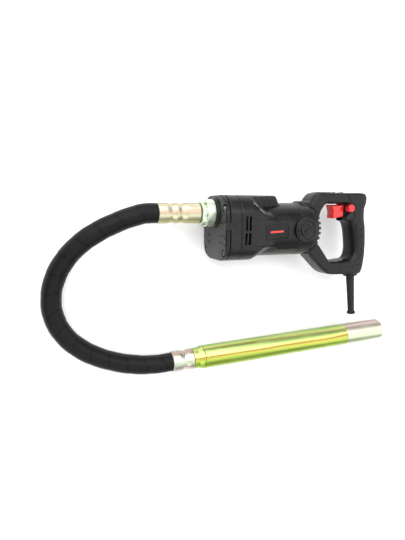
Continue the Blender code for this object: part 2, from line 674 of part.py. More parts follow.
def stator():
    """Field core and coils, and the baffle that sends the air past them."""
    baffle = FAN_START + FAN_WIDTH + 1
    ring("air_baffle", baffle, baffle + SHEET, FAN_R - 8, STATOR_R, NYLON, MOTOR)
    ring("stator_core", CORE_START, CORE_END, CORE_R + AIR_GAP, STATOR_R, LAMINATIONS, MOTOR)
    for name, low in (("field_coil_front", CORE_START - GAP - COIL_LENGTH),
                      ("field_coil_rear", CORE_END + GAP)):
        high = low + COIL_LENGTH
        profile = [(high, STATOR_R - 5), (high - 2, STATOR_R - 3), (low + 2, STATOR_R - 3),
                   (low, STATOR_R - 5), (low, CORE_R + 3), (high, CORE_R + 3)]
        turned(name, profile, COPPER, MOTOR, closed=True)


def brushes():
    """Brush holder, brush, spring and screw cap on each side."""
    seat = CAP_TOP - CAP_THICK
    stub_end = seat - CAP_STUB
    half, slot_half = BRUSH_SIDE / 2, CAP_SLOT / 2
    brush_low = COMMUTATOR_R + GAP
    brush_high = brush_low + BRUSH_LENGTH
    spring_low = brush_high + SPRING_WIRE + GAP
    spring_high = stub_end - SPRING_WIRE - GAP
    turns = SPRING_TURNS * 8
    coil = [(SPRING_R * math.cos(i * math.pi / 4), SPRING_R * math.sin(i * math.pi / 4),
             spring_low + (spring_high - spring_low) * i / turns) for i in range(turns + 1)]
    for axis, name in ((BRUSH_NEAR, "near"), (BRUSH_FAR, "far")):
        ring(f"brush_holder_{name}", HOLDER_START, stub_end - 1, HOLDER_BORE, HOLDER_R, BRASS,
             axis)
        block(f"carbon_brush_{name}", (-half, -half, brush_low), (half, half, brush_high),
              CARBON, axis)
        tube(f"brush_spring_{name}", coil, SPRING_WIRE, STEEL, axis, sides=4)
        cap = turned(f"brush_cap_{name}", [
            (CAP_TOP, 0), (CAP_TOP, CAP_R - 1), (CAP_TOP - 1, CAP_R), (seat + GAP, CAP_R),
            (seat + GAP, CAP_STUB_R), (stub_end, CAP_STUB_R), (stub_end, 0)], NYLON, axis)
        slot = block(f"cap_slot_{name}", (-CAP_R / 2, -slot_half, CAP_TOP - 1.4),
                     (CAP_R / 2, slot_half, CAP_TOP + OVER), None, axis, guide=True)
        slot.rotation_euler = (0, 0, CAP_SLOT_TURN)
        cut(cap, slot)


# ---------------------------------------------------------------- handle
def handle_cutters():
    """Everything that is taken out of both handle halves."""
    seat_end = REAR_BEARING_START + REAR_BEARING_WIDTH + 2
    seat_r, inner_r = REAR_BEARING_R + GAP, HOUSING_R - HOUSING_WALL
    seat, mouth = REAR_BEARING_START - 1, HOUSING_REAR - 20
    made = [turned("tail_cavity", [(seat_end, 0), (seat_end, seat_r), (seat, seat_r),
                                   (seat, inner_r), (mouth, inner_r), (mouth, 0)],
                   None, MOTOR, steps=36, guide=True)]
    through = HANDLE_HALF + 5
    made.append(plate("finger_opening", [OPENING_OUTLINE], -through, through, None, BODY,
                      guide=True))
    for index, axis in enumerate((BRUSH_NEAR, BRUSH_FAR)):
        made.append(rod(f"boss_clearance_{index}", HOUSING_R - 14, REST + 3, BOSS_R + GAP, None,
                        axis, guide=True))
    width = TRIGGER_HALF + GAP
    made.append(block("trigger_slot", (TRIGGER_FRONT + 4, TRIGGER_LOW - 3, -width),
                      (TRIGGER_REAR + TRIGGER_TRAVEL, TRIGGER_HIGH + 1.3, width), None, BODY,
                      guide=True))
    switch_end = SWITCH_START + SWITCH_LENGTH + SWITCH_ROOM
    made.append(block("switch_cavity",
                      (TRIGGER_FRONT + 12, SWITCH_LOW - SWITCH_ROOM, -CAVITY_HALF),
                      (switch_end, SWITCH_HIGH + SWITCH_ROOM, CAVITY_HALF), None, BODY,
                      guide=True))
    made.append(rod("button_bore", CAVITY_HALF - 2, HANDLE_HALF + 4,
                    BUTTON_R + BUTTON_CLEARANCE, None, BUTTON, guide=True))
    groove = GRIP_PAD_HALF + GAP
    made.append(plate("grip_groove", [pad_outline(GAP)], -groove, groove, None, BODY,
                      guide=True))
    room = [(low - extra, high + extra)
            for low, high, extra in zip(CLAMP_LOW, CLAMP_HIGH, CLAMP_ROOM)]
    made.append(block("clamp_cavity", *zip(*room), None, BODY, guide=True))
    shank, head_r = HANDLE_SCREW_R + GAP, HANDLE_SCREW_HEAD_R + GAP
    head_seat, face = GAP - HANDLE_SCREW_SEAT, -HANDLE_HALF - 2
    for index, (x, y) in enumerate(HANDLE_SCREWS):
        profile = [(HANDLE_SCREW_END + 0.5, 0), (HANDLE_SCREW_END + 0.5, shank),
                   (head_seat, shank), (head_seat, head_r), (face, head_r), (face, 0)]
        made.append(turned(f"handle_screw_hole_{index}", profile, None, BODY, steps=12,
                           location=(x, y, 0), guide=True))
    top_r, flange_r = BOOT_TOP_R + GAP, BOOT_FLANGE_R + GAP
    near, far = 1 - BOOT_FLANGE_DEPTH, -BOOT_FLANGE_DEPTH - BOOT_FLANGE - 0.6
    made.append(turned("boot_seat", [(30, 0), (30, top_r), (near, top_r), (near, flange_r),
                                     (far, flange_r), (far, 0)], None, BOOT, guide=True))
    return made


def pad_outline(extra):
    """The grip pad's outline, made larger by extra on its inner side and ends."""
    outer = [(x + extra, y) for x, y in GRIP_REAR]
    inner = [(x - GRIP_PAD_DEPTH - extra, y) for x, y in GRIP_REAR]
    outer[0], inner[0] = (outer[0][0], outer[0][1] + extra), (inner[0][0], inner[0][1] + extra)
    outer[-1], inner[-1] = ((outer[-1][0], outer[-1][1] - extra),
                            (inner[-1][0], inner[-1][1] - extra))
    return outer + inner[::-1]


def handle():
    """The D-handle and motor tail in two halves, split on the motor's middle plane."""
    start = HOUSING_REAR + GAP
    tail = [(TAIL_REAR, 0), (TAIL_REAR, HOUSING_R - 9), (TAIL_REAR - 3, HOUSING_R - 3),
            (TAIL_REAR - 8, HOUSING_R), (start, HOUSING_R), (start, 0)]
    cutters = handle_cutters()
    tail_piece = turned("handle_tail", tail, None, MOTOR, steps=36, guide=True)
    collar = rod("boot_collar", -6, 3.5, BOOT_COLLAR_R, None, BOOT, guide=True)
    for name, kept, away in (("handle_shell_near", (-2, HANDLE_HALF), (-60, GAP / 2)),
                             ("handle_shell_far", (-HANDLE_HALF, 2), (-GAP / 2, 60))):
        shell = plate(name, [HANDLE_OUTLINE], *kept, CASE_PLASTIC, BODY)
        join(shell, tail_piece, collar)
        half = block(f"{name}_half", (100, -120, away[0]), (300, 90, away[1]), None, BODY,
                     guide=True)
        cut(shell, half, *cutters)
    seat, face = -HANDLE_SCREW_SEAT, -HANDLE_SCREW_SEAT - HANDLE_SCREW_HEAD
    for index, (x, y) in enumerate(HANDLE_SCREWS):
        profile = [(HANDLE_SCREW_END, 0), (HANDLE_SCREW_END, HANDLE_SCREW_R),
                   (seat, HANDLE_SCREW_R), (seat, HANDLE_SCREW_HEAD_R),
                   (face, HANDLE_SCREW_HEAD_R), (face, 0)]
        turned(f"handle_screw_{index + 1}", profile, DARK_STEEL, BODY, steps=12,
               location=(x, y, 0))
    plate("grip_pad", [pad_outline(0)], -GRIP_PAD_HALF, GRIP_PAD_HALF, GRIP_RUBBER, BODY)


def controls():
    """Trigger, lock button and the switch they work."""
    reach = TRIGGER_FRONT - TRIGGER_REAR
    front = [(reach, TRIGGER_HIGH), (reach + 2.2, 31), (reach + 3.6, 26), (reach + 3.4, 20),
             (reach + 3.8, TRIGGER_LOW + 1), (reach + 5.5, TRIGGER_LOW)]
    plate("trigger", [front + [(0, TRIGGER_LOW + 3), (0, TRIGGER_HIGH)]],
          -TRIGGER_HALF, TRIGGER_HALF, RED_PLASTIC, TRIGGER)
    proud, inner = HANDLE_HALF + BUTTON_PROUD, CAVITY_HALF + 1.2
    turned("lock_button", [(proud, 0), (proud - 0.5, BUTTON_R - 2.5), (proud - 1.8, BUTTON_R),
                           (inner, BUTTON_R), (inner, 0)], RED_PLASTIC, BUTTON)
    block("switch_body", (SWITCH_START, SWITCH_LOW, -SWITCH_HALF),
          (SWITCH_START + SWITCH_LENGTH, SWITCH_HIGH, SWITCH_HALF), NYLON, BODY)


def boot():
    """The cable's bend relief, and the clamp that holds the cable inside the handle."""
    end = BOOT_LENGTH
    near, far = -BOOT_FLANGE_DEPTH, -BOOT_FLANGE_DEPTH - BOOT_FLANGE
    turned("cable_boot", [
        (end, BOOT_FLARE_R - 1), (end - 1, BOOT_FLARE_R), (end - 3, BOOT_FLARE_R),
        (end - 4.5, BOOT_END_R), (0, BOOT_TOP_R), (near, BOOT_TOP_R), (near, BOOT_FLANGE_R),
        (far, BOOT_FLANGE_R), (far, CABLE_R), (end, CABLE_R)], GRIP_RUBBER, BOOT, closed=True)
    block("cable_clamp", CLAMP_LOW, CLAMP_HIGH, NYLON, BODY, bevel=0.8)


# ---------------------------------------------------------------- hose and head
def crimped(low, high, radius, waists):
    """The outer side of a crimped ferrule, high to low, with a narrow waist at each place."""
    side = [(high, radius - 0.8)]
    for waist in sorted(waists, reverse=True):
        side += [(waist + WAIST_HALF, radius), (waist, radius - WAIST_DEPTH),
                 (waist - WAIST_HALF, radius)]
    return side + [(low + 0.8, radius), (low, radius - 0.6)]


def hose():
    """The hose's rubber cover, its steel liner, the flexible core and their end fittings."""
    start, end = FERRULE_START, FERRULE_END
    side = crimped(start, end, FERRULE_R, FERRULE_WAISTS)
    turned("motor_ferrule", side + [(start, FERRULE_BORE), (end, FERRULE_BORE)], GOLD_ZINC,
           OUTPUT, closed=True)
    flange, neck = SPIGOT_FRONT - GAP, NUT_FRONT + NUT_LIP + 0.5
    step, inner = end + GAP, start + FITTING_INSET
    turned("hose_fitting", [(flange, SPIGOT_R - GAP), (neck, SPIGOT_R - GAP),
                            (neck, NECK_WALL_R), (step, NECK_WALL_R), (step, FITTING_R),
                            (inner, FITTING_R), (inner, FITTING_BORE), (flange, FITTING_BORE)],
           STEEL, OUTPUT, closed=True)
    rod("core_drive_end", start + FLEX_INTO_MOTOR, SPIGOT_FRONT - 1.4, DRIVE_R, STEEL, OUTPUT)
    line = [Vector(HOSE_ROUTE[0]), *smooth_line(HOSE_ROUTE[1:-1], HOSE_SPACING),
            Vector(HOSE_ROUTE[-1])]
    motor_way = Vector((1, 0, 0))
    head_way = Vector((math.cos(HEAD_TURN), math.sin(HEAD_TURN), 0))
    tube("hose_cover", line, HOSE_R, HOSE_RUBBER, WORLD, wall=HOSE_WALL)
    tube("hose_liner", line, LINER_R, DARK_STEEL, WORLD, wall=LINER_WALL, sides=10)
    core = [line[0] + FLEX_INTO_MOTOR * motor_way] + line + [line[-1] + FLEX_INTO_HEAD * head_way]
    tube("flex_core", core, FLEX_R, STEEL, WORLD, sides=8)


def head():
    """The vibrating poker: ferrule, adapter, tube, tip and the eccentric rotor inside."""
    length = HEAD_FERRULE_LENGTH
    side = crimped(0, length, HEAD_FERRULE_R, (HEAD_WAIST,))
    turned("head_ferrule", side + [(0, FERRULE_BORE), (length, FERRULE_BORE)], PALE_ZINC, HEAD,
           closed=True)
    spigot = HEAD_BORE - GAP
    tube_start = SHOULDER_END + GAP
    inner = tube_start + SPIGOT_LENGTH
    turned("head_adapter", [(inner, spigot), (SHOULDER_END, spigot), (SHOULDER_END, HEAD_R),
                            (NECK_END, NECK_R), (length + GAP, NECK_R), (length + GAP, FITTING_R),
                            (FITTING_INSET, FITTING_R), (FITTING_INSET, FITTING_BORE),
                            (inner, FITTING_BORE)],
           GREEN_ZINC, HEAD, closed=True)
    ring("head_tube", tube_start, TIP_START - GAP, HEAD_BORE, HEAD_R, GREEN_ZINC, HEAD)
    turned("head_tip", [(HEAD_END, 0), (HEAD_END, HEAD_R - TIP_CHAMFER),
                        (HEAD_END - TIP_CHAMFER, HEAD_R), (TIP_START, HEAD_R),
                        (TIP_START, spigot), (TIP_START - SPIGOT_LENGTH, spigot),
                        (TIP_START - SPIGOT_LENGTH, 0)], PALE_ZINC, HEAD)
    seal_start = inner + 1.5
    bearing = seal_start + SEAL_WIDTH + 1
    ring("head_seal", seal_start, bearing - 1, ROTOR_SHAFT_R + GAP, spigot, GRIP_RUBBER, HEAD)
    ring("head_bearing_rear", bearing, bearing + HEAD_BEARING_WIDTH, ROTOR_SHAFT_R + GAP, spigot,
         STEEL, HEAD)
    front_end = TIP_START - SPIGOT_LENGTH - 2
    ring("head_bearing_front", front_end - HEAD_BEARING_WIDTH, front_end, ROTOR_SHAFT_R + GAP,
         spigot, STEEL, HEAD)
    rod("core_head_end", FLEX_INTO_HEAD + 0.5, inner - 0.6, DRIVE_R, STEEL, HEAD)
    rotor = rod("eccentric_rotor", inner, front_end + 0.7, ROTOR_SHAFT_R, DARK_STEEL, HEAD)
    weight = rod("rotor_weight", WEIGHT_START, WEIGHT_END, WEIGHT_R, None, HEAD, guide=True)
    lighter = block("rotor_light_side", (-WEIGHT_R - 1, 0, WEIGHT_START - 1),
                    (WEIGHT_R + 1, WEIGHT_R + 1, WEIGHT_END + 1), None, HEAD, guide=True)
    cut(weight, lighter)
    join(rotor, weight)


gear_cover()
gear_case()
case_screws()
nose()
gears()
motor_housing()
armature()
stator()
brushes()
handle()
controls()
boot()
hose()
head()

for piece in PARTS.objects:
    if piece.type == "MESH":
        piece.data.shade_smooth()
        piece.data.set_sharp_from_angle(angle=math.radians(35))
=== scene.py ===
"""Looks of a hand-held electric concrete vibrator: motor unit, flexible hose and poker.

Every shape is a function of two parameters worked out as whole numpy arrays, in millimetres
along an axis of the tool, and is put in place in metres. Places along the motor are counted from
a plane 23 mm in front of the origin, heights from the motor axis.
"""
import logging
import math
from collections.abc import Callable
from dataclasses import dataclass, field
from enum import Enum

import bmesh
import bpy
import numpy as np
from mathutils import Matrix, Vector


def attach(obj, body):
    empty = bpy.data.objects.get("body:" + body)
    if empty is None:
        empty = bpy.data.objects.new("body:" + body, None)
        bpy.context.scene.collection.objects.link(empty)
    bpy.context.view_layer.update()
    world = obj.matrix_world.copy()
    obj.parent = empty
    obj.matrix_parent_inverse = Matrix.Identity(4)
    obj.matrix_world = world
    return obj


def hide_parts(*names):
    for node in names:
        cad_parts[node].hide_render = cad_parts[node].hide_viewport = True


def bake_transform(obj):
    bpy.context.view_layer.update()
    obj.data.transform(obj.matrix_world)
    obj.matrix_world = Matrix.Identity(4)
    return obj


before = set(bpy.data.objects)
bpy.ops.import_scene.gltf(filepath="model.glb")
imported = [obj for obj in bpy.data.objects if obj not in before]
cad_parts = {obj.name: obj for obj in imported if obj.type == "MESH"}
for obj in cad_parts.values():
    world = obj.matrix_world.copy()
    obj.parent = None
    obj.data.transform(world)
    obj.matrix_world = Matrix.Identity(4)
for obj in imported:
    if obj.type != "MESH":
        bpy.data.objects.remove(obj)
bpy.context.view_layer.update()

LOG = logging.getLogger("concrete_vibrator")
Array = np.ndarray
Thing = bpy.types.Object
Socket = bpy.types.NodeSocket
Skin = Callable[[Array, Array], Array]
RGB = tuple[float, float, float]


class Joining(Enum):
    """How one body works on another."""

    AWAY = "DIFFERENCE"
    WITH = "UNION"


class Body(Enum):
    """The moving bodies that visible pieces ride on."""

    MOTOR = "motor_unit"
    HEAD = "head"
    TRIGGER = "trigger"
    BUTTON = "lock_button"


@dataclass(frozen=True)
class Axis:
    """A line with two side directions, in millimetres in the tool's own frame."""

    origin: tuple[float, float, float]
    along: tuple[float, float, float] = (1.0, 0.0, 0.0)
    side: tuple[float, float, float] = (0.0, 1.0, 0.0)

    def place(self, local: Array) -> Array:
        """Move points (along, side, third) to the tool's frame.

        Args:
            local: points in millimetres, last dimension three.
        Returns:
            The same points in metres: origin + a * along + s * side + t * (along x side).
        """
        axes = np.array([self.along, self.side, np.cross(self.along, self.side)])
        return (np.array(self.origin) + np.asarray(local, float) @ axes) * 0.001


TURN = math.radians(2.6)
LEAN = math.radians(4.7)
MOTOR = Axis((-23.0, 0.0, 45.0))
OUTPUT = Axis((-23.0, 24.0, 45.0))
HEAD = Axis((-72.8, -198.8, 17.5), (math.cos(TURN), math.sin(TURN), 0.0),
            (-math.sin(TURN), math.cos(TURN), 0.0))
BOOT = Axis((223.2, -73.5, 45.0), (math.sin(LEAN), -math.cos(LEAN), 0.0), (0.0, 0.0, 1.0))
BRUSH_NEAR = Axis((111.0, 0.0, 45.0), (0.0, 0.0, 1.0), (1.0, 0.0, 0.0))
BRUSH_FAR = Axis((111.0, 0.0, 45.0), (0.0, 0.0, -1.0), (1.0, 0.0, 0.0))
BUTTON = Axis((206.0, 31.0, 45.0), (0.0, 0.0, 1.0), (1.0, 0.0, 0.0))


# ------------------------------------------------------------------ curves and outlines
def eased(points: list | Array, radius: float, closed: bool = True, steps: int = 4) -> Array:
    """Round each corner of a line with a quadratic curve.

    Each corner p becomes (1-t)^2 a + 2t(1-t) p + t^2 b, where a and b lie radius away from it
    along its two sides, or at most 0.45 of the side.

    Args:
        points: corners, two or three numbers each.
        radius: how far from the corner the rounding starts.
        closed: whether the last corner joins the first.
        steps: how many parts each rounding has.
    Returns:
        The rounded line's points.
    """
    p = np.asarray(points, float)
    before, after = np.roll(p, 1, 0) - p, np.roll(p, -1, 0) - p
    reach = [np.linalg.norm(v, axis=1, keepdims=True) + 1e-9 for v in (before, after)]
    a = p + before / reach[0] * np.minimum(radius, 0.45 * reach[0])
    b = p + after / reach[1] * np.minimum(radius, 0.45 * reach[1])
    t = np.linspace(0, 1, steps + 1)[None, :, None]
    curve = (1 - t) ** 2 * a[:, None] + 2 * t * (1 - t) * p[:, None] + t ** 2 * b[:, None]
    if not closed:
        curve[0], curve[-1] = p[0], p[-1]
    line = curve.reshape(-1, p.shape[1])
    keep = np.r_[True, np.linalg.norm(np.diff(line, axis=0), axis=1) > 1e-6]
    return line[keep]


def inset(outline: Array, depth: float) -> Array:
    """Move a closed outline inwards along the mean normal of each corner.

    Args:
        outline: its corners, two numbers each.
        depth: how far it moves.
    Returns:
        The moved corners.
    """
    step = np.roll(outline, -1, 0) - outline
    step /= np.linalg.norm(step, axis=1, keepdims=True) + 1e-12
    normal = np.c_[-step[:, 1], step[:, 0]]
    mean = normal + np.roll(normal, 1, 0)
    mean /= np.maximum((mean ** 2).sum(1, keepdims=True) / 2, 0.5)
    x, y = outline.T
    area = (x * np.roll(y, -1) - y * np.roll(x, -1)).sum()
    return outline + mean * depth * np.sign(area)


def flowing(points: Array, parts: int, closed: bool = False) -> Array:
    """A Catmull-Rom curve through points: the cubic between b and c with slopes (c-a)/2, (d-b)/2.

    Args:
        points: the points, any number of coordinates each.
        parts: how many steps between two points.
        closed: whether the curve runs back to its first point.
    Returns:
        The curve's points.
    """
    p = np.asarray(points, float)
    if closed:
        a, b, c, d = (np.roll(p, k, 0) for k in (1, 0, -1, -2))
    else:
        full = np.concatenate([[2 * p[0] - p[1]], p, [2 * p[-1] - p[-2]]])
        a, b, c, d = full[:-3], full[1:-2], full[2:-1], full[3:]
    shape = (1, parts) + (1,) * (p.ndim - 1)
    t = np.linspace(0, 1, parts, endpoint=False).reshape(shape)
    a, b, c, d = (v[:, None] for v in (a, b, c, d))
    curve = 0.5 * (2 * b + (c - a) * t + (2 * a - 5 * b + 4 * c - d) * t ** 2
                   + (3 * b - a - 3 * c + d) * t ** 3)
    line = curve.reshape((-1,) + p.shape[1:])
    return line if closed else np.concatenate([line, p[-1:]])


def measured(line: Array, spacing: float) -> tuple[Array, Array]:
    """Walk along a line at equal steps.

    Args:
        line: its points, any number of coordinates each.
        spacing: about how long a step is.
    Returns:
        The points, and how far along the line each of them lies.
    """
    done = np.r_[0, np.cumsum(np.linalg.norm(np.diff(line, axis=0), axis=1))]
    at = np.linspace(0, done[-1], max(2, round(done[-1] / spacing)) + 1)
    return np.stack([np.interp(at, done, column) for column in line.T], 1), at


# ------------------------------------------------------------------ surfaces
def surface(name: str, grid: Array, rows_join: bool = False, capped: bool = True) -> Thing:
    """Put a grid of points into the scene as a closed mesh whose faces point outwards.

    Args:
        name: the object's name.
        grid: points in metres, rows by columns by three; the columns run round and join up.
        rows_join: whether the last row joins the first.
        capped: whether the two end rows are closed with a flat face.
    Returns:
        The object, at the origin with its place in its mesh.
    """
    rows, columns = grid.shape[:2]
    index = np.arange(rows * columns).reshape(rows, columns)
    ends = [index[0].tolist(), index[-1][::-1].tolist()] if capped and not rows_join else []
    if rows_join:
        index = np.vstack([index, index[:1]])
    index = np.hstack([index, index[:, :1]])
    quads = np.stack([index[:-1, :-1], index[:-1, 1:], index[1:, 1:], index[1:, :-1]], -1)
    mesh = bpy.data.meshes.new(name)
    mesh.from_pydata(grid.reshape(-1, 3), [], quads.reshape(-1, 4).tolist() + ends)
    work = bmesh.new()
    work.from_mesh(mesh)
    bmesh.ops.remove_doubles(work, verts=work.verts, dist=2e-6)
    bmesh.ops.recalc_face_normals(work, faces=work.faces)
    work.to_mesh(mesh)
    work.free()
    made = bpy.data.objects.new(name, mesh)
    bpy.context.scene.collection.objects.link(made)
    return made


def turned(name: str, axis: Axis, profile: list | Array, ease: float = 0.0, steps: int = 72,
           ring: bool = False) -> Thing:
    """A turned piece: (along, radius) carried round the axis as (a, r cos t, r sin t).

    Args:
        name: the object's name.
        axis: the line it is turned about.
        profile: (place along the axis, radius) pairs.
        ease: radius of its rounded corners.
        steps: how many columns go round.
        ring: whether the profile closes on itself and doesn't reach the axis.
    Returns:
        The object.
    """
    line = eased(profile, ease, ring) if ease else np.asarray(profile, float)
    angle = np.linspace(0, 2 * math.pi, steps, endpoint=False)
    a, r = line[:, :1], line[:, 1:]
    grid = np.stack([a + 0 * angle, r * np.cos(angle), r * np.sin(angle)], -1)
    return surface(name, axis.place(grid), ring, False)


def prism(name: str, axis: Axis, outline: list | Array, low: float, high: float,
          edge: float = 0.0, ease: float = 0.0, lengthwise: bool = False) -> Thing:
    """A plate with quarter-round edges: the outline is drawn in by edge (1 - sin t) as it rises.

    Args:
        name: the object's name.
        axis: the frame that it is drawn in.
        outline: closed corners, (along, side), or (across, side) where it is lengthwise.
        low: where it starts.
        high: where it ends.
        edge: radius of the edges round its two faces.
        ease: radius of the outline's own corners.
        lengthwise: whether it runs along the axis, and not across it.
    Returns:
        The object.
    """
    flat = eased(outline, ease) if ease else np.asarray(outline, float)
    t = np.linspace(0, math.pi / 2, 5) if edge else np.array([math.pi / 2])
    drawn, rise = edge * (1 - np.sin(t)), edge * (1 - np.cos(t))
    heights = np.r_[low + rise, (high - rise)[::-1]]
    rings = np.stack([inset(flat, d) for d in np.r_[drawn, drawn[::-1]]])
    tall = np.broadcast_to(heights[:, None], rings.shape[:2])
    parts = (tall, rings[..., 1], rings[..., 0]) if lengthwise else (
        rings[..., 0], rings[..., 1], tall)
    return surface(name, axis.place(np.stack(parts, -1)))


def strip(name: str, path: list | Array, half: float, low: float, high: float, skin: Skin,
          far: bool = False, ease: float = 3.0) -> Thing:
    """A narrow band that lies on a skin: a cutter for a groove, or a raised rib.

    A point at u across the path has height skin(x, y) + low below. Above it has
    skin(x, y) + low + (high - low) (1 - 0.35 u^6), so that the upper face falls at its sides.

    Args:
        name: the object's name.
        path: (along, side) points of its middle line.
        half: half of its width.
        low: its lower face, from the skin.
        high: its upper face, from the skin.
        skin: function of arrays x and y that gives the skin's height.
        far: whether it lies on the far side of the tool.
        ease: radius of the path's bends.
    Returns:
        The object.
    """
    line, _ = measured(eased(path, ease, False), 1.5)
    way = np.gradient(line, axis=0)
    way /= np.linalg.norm(way, axis=1, keepdims=True)
    across = np.c_[-way[:, 1], way[:, 0]]
    u = np.linspace(-1, 1, max(5, int(half) + 3))
    flat = line[:, None] + across[:, None] * (u * half)[None, :, None]
    height = skin(flat[..., 0], flat[..., 1])
    raised = height + low + (high - low) * (1 - 0.35 * u ** 6)
    over = np.concatenate([flat, raised[..., None]], -1)
    under = np.concatenate([flat, (height + low)[..., None]], -1)[:, ::-1]
    grid = np.concatenate([over, under], 1)
    grid[..., 2] *= -1 if far else 1
    return surface(name, MOTOR.place(grid))


def sweep(name: str, line: Array, radius: Array, bore: Array | None = None) -> Thing:
    """A tube along a line: centre + r (cos t side + sin t up), with side = way x Z.

    Args:
        name: the object's name.
        line: ring centres in millimetres.
        radius: outer radius for each ring and column.
        bore: inner radius in the same shape, or nothing for a solid bar.
    Returns:
        The object.
    """
    way = np.gradient(line, axis=0)
    way /= np.linalg.norm(way, axis=1, keepdims=True)
    side = np.cross(way, (0.0, 0.0, 1.0))
    side /= np.linalg.norm(side, axis=1, keepdims=True)
    up = np.cross(side, way)
    angle = np.linspace(0, 2 * math.pi, radius.shape[1], endpoint=False)[None, :, None]
    spoke = np.cos(angle) * side[:, None] + np.sin(angle) * up[:, None]
    grid = line[:, None] + spoke * radius[..., None]
    if bore is None:
        return surface(name, grid * 0.001)
    inner = (line[:, None] + spoke * bore[..., None])[::-1][::6]
    return surface(name, np.concatenate([grid, inner]) * 0.001, True)


def work_on(piece: Thing, how: Joining, *tools: Thing) -> Thing:
    """Cut or join a piece with others, which are then removed.

    Args:
        piece: the piece worked on.
        how: whether the others are taken away from it or joined with it.
        tools: the others.
    Returns:
        The piece.
    """
    for tool in tools:
        step = piece.modifiers.new(how.name.lower(), "BOOLEAN")
        step.object, step.operation, step.solver = tool, how.value, "MANIFOLD"
    bpy.context.view_layer.update()
    made = bpy.data.meshes.new_from_object(
        piece.evaluated_get(bpy.context.evaluated_depsgraph_get()))
    piece.modifiers.clear()
    old, piece.data = piece.data, made
    bpy.data.meshes.remove(old)
    for tool in tools:
        bpy.data.objects.remove(tool, do_unlink=True)
    return piece


def cross_cut(screw: Thing, axis: Axis, reach: float, half: float, low: float,
              high: float) -> None:
    """Cut a cross recess into a screw's head: two bars at right angles.

    Args:
        screw: the screw.
        axis: its own line.
        reach: how far a bar reaches from the middle.
        half: half of a bar's width.
        low: where the recess starts.
        high: where it ends.
    """
    bars = [prism("recess", axis, [(-w, -h), (w, -h), (w, h), (-w, h)], low, high, 0, 0, True)
            for w, h in ((reach, half), (half, reach))]
    work_on(screw, Joining.AWAY, *bars)


# ------------------------------------------------------------------ finishes
class Nodes:
    """A node tree with short ways to add and join its nodes."""

    def __init__(self, tree: bpy.types.NodeTree) -> None:
        """Keep the tree."""
        self.tree = tree

    def add(self, kind: str, inputs: dict | None = None, **settings: object) -> bpy.types.Node:
        """Add a node.

        Args:
            kind: the node's type, without the leading ShaderNode.
            inputs: values or sockets by input name or number.
            settings: the node's own properties.
        Returns:
            The node.
        """
        node = self.tree.nodes.new("ShaderNode" + kind)
        for key, value in settings.items():
            setattr(node, key, value)
        for key, value in (inputs or {}).items():
            if isinstance(value, bpy.types.NodeSocket):
                self.tree.links.new(value, node.inputs[key])
            else:
                node.inputs[key].default_value = value
        return node

    def mix(self, factor: float | Socket, first: RGB | Socket, second: RGB | Socket) -> Socket:
        """Mix two colours.

        Args:
            factor: the second colour's share.
            first: the colour at factor 0.
            second: the colour at factor 1.
        Returns:
            The mixed colour's socket.
        """
        node = self.add("Mix", data_type="RGBA")
        for key, value in ((0, factor), (6, first), (7, second)):
            if isinstance(value, bpy.types.NodeSocket):
                self.tree.links.new(value, node.inputs[key])
            else:
                node.inputs[key].default_value = value if key == 0 else (*value, 1.0)
        return node.outputs[2]

    def ranged(self, value: float | Socket, low: float, high: float, to_low: float,
               to_high: float) -> Socket:
        """A value's range moved to another, kept inside it."""
        node = self.add("MapRange", {0: value, 1: low, 2: high, 3: to_low, 4: to_high})
        return node.outputs[0]


def group_of(name: str, inputs: dict[str, float], outputs: tuple[str, ...]) -> tuple:
    """A new shader group with a Vector input, float inputs and float outputs.

    Args:
        name: the group's name.
        inputs: its float inputs and their values.
        outputs: its float outputs.
    Returns:
        The group, its Nodes, its input node and its output node.
    """
    group = bpy.data.node_groups.new(name, "ShaderNodeTree")
    group.interface.new_socket(name="Vector", in_out="INPUT", socket_type="NodeSocketVector")
    for key, value in inputs.items():
        socket = group.interface.new_socket(name=key, in_out="INPUT",
                                            socket_type="NodeSocketFloat")
        socket.default_value = value
    for key in outputs:
        group.interface.new_socket(name=key, in_out="OUTPUT", socket_type="NodeSocketFloat")
    return group, Nodes(group), group.nodes.new("NodeGroupInput"), group.nodes.new(
        "NodeGroupOutput")


def grain_group() -> bpy.types.NodeTree:
    """Moulding grain: fine cells over soft unevenness, as a height and a blotch mask.

    Returns:
        The group.
    """
    group, nodes, given, out = group_of("moulding_grain", {"Scale": 900.0}, ("Height", "Blotch"))
    fine = nodes.add("TexNoise", {"Vector": given.outputs[0], "Scale": given.outputs[1],
                                  "Detail": 4.0, "Roughness": 0.6})
    cells = nodes.add("TexVoronoi", {"Vector": given.outputs[0], "Scale": given.outputs[1]})
    total = nodes.add("Math", {0: fine.outputs[0], 1: cells.outputs[0]}, operation="ADD")
    broad = nodes.add("TexNoise", {"Vector": given.outputs[0], "Scale": 28.0, "Detail": 3.0})
    group.links.new(total.outputs[0], out.inputs[0])
    group.links.new(broad.outputs[0], out.inputs[1])
    return group


def wear_group() -> bpy.types.NodeTree:
    """Edge wear: how sharply the surface bends outwards, broken up by noise.

    Returns:
        The group.
    """
    group, nodes, given, out = group_of("edge_wear", {"Amount": 0.5}, ("Mask",))
    bend = nodes.add("NewGeometry")
    edge = nodes.ranged(bend.outputs["Pointiness"], 0.51, 0.58, 0.0, 1.0)
    patchy = nodes.add("TexNoise", {"Vector": given.outputs[0], "Scale": 160.0, "Detail": 5.0})
    broken = nodes.ranged(patchy.outputs[0], 0.35, 0.65, 0.0, 1.0)
    both = nodes.add("Math", {0: edge, 1: broken}, operation="MULTIPLY")
    scaled = nodes.add("Math", {0: both.outputs[0], 1: given.outputs[1]}, operation="MULTIPLY")
    group.links.new(scaled.outputs[0], out.inputs[0])
    return group


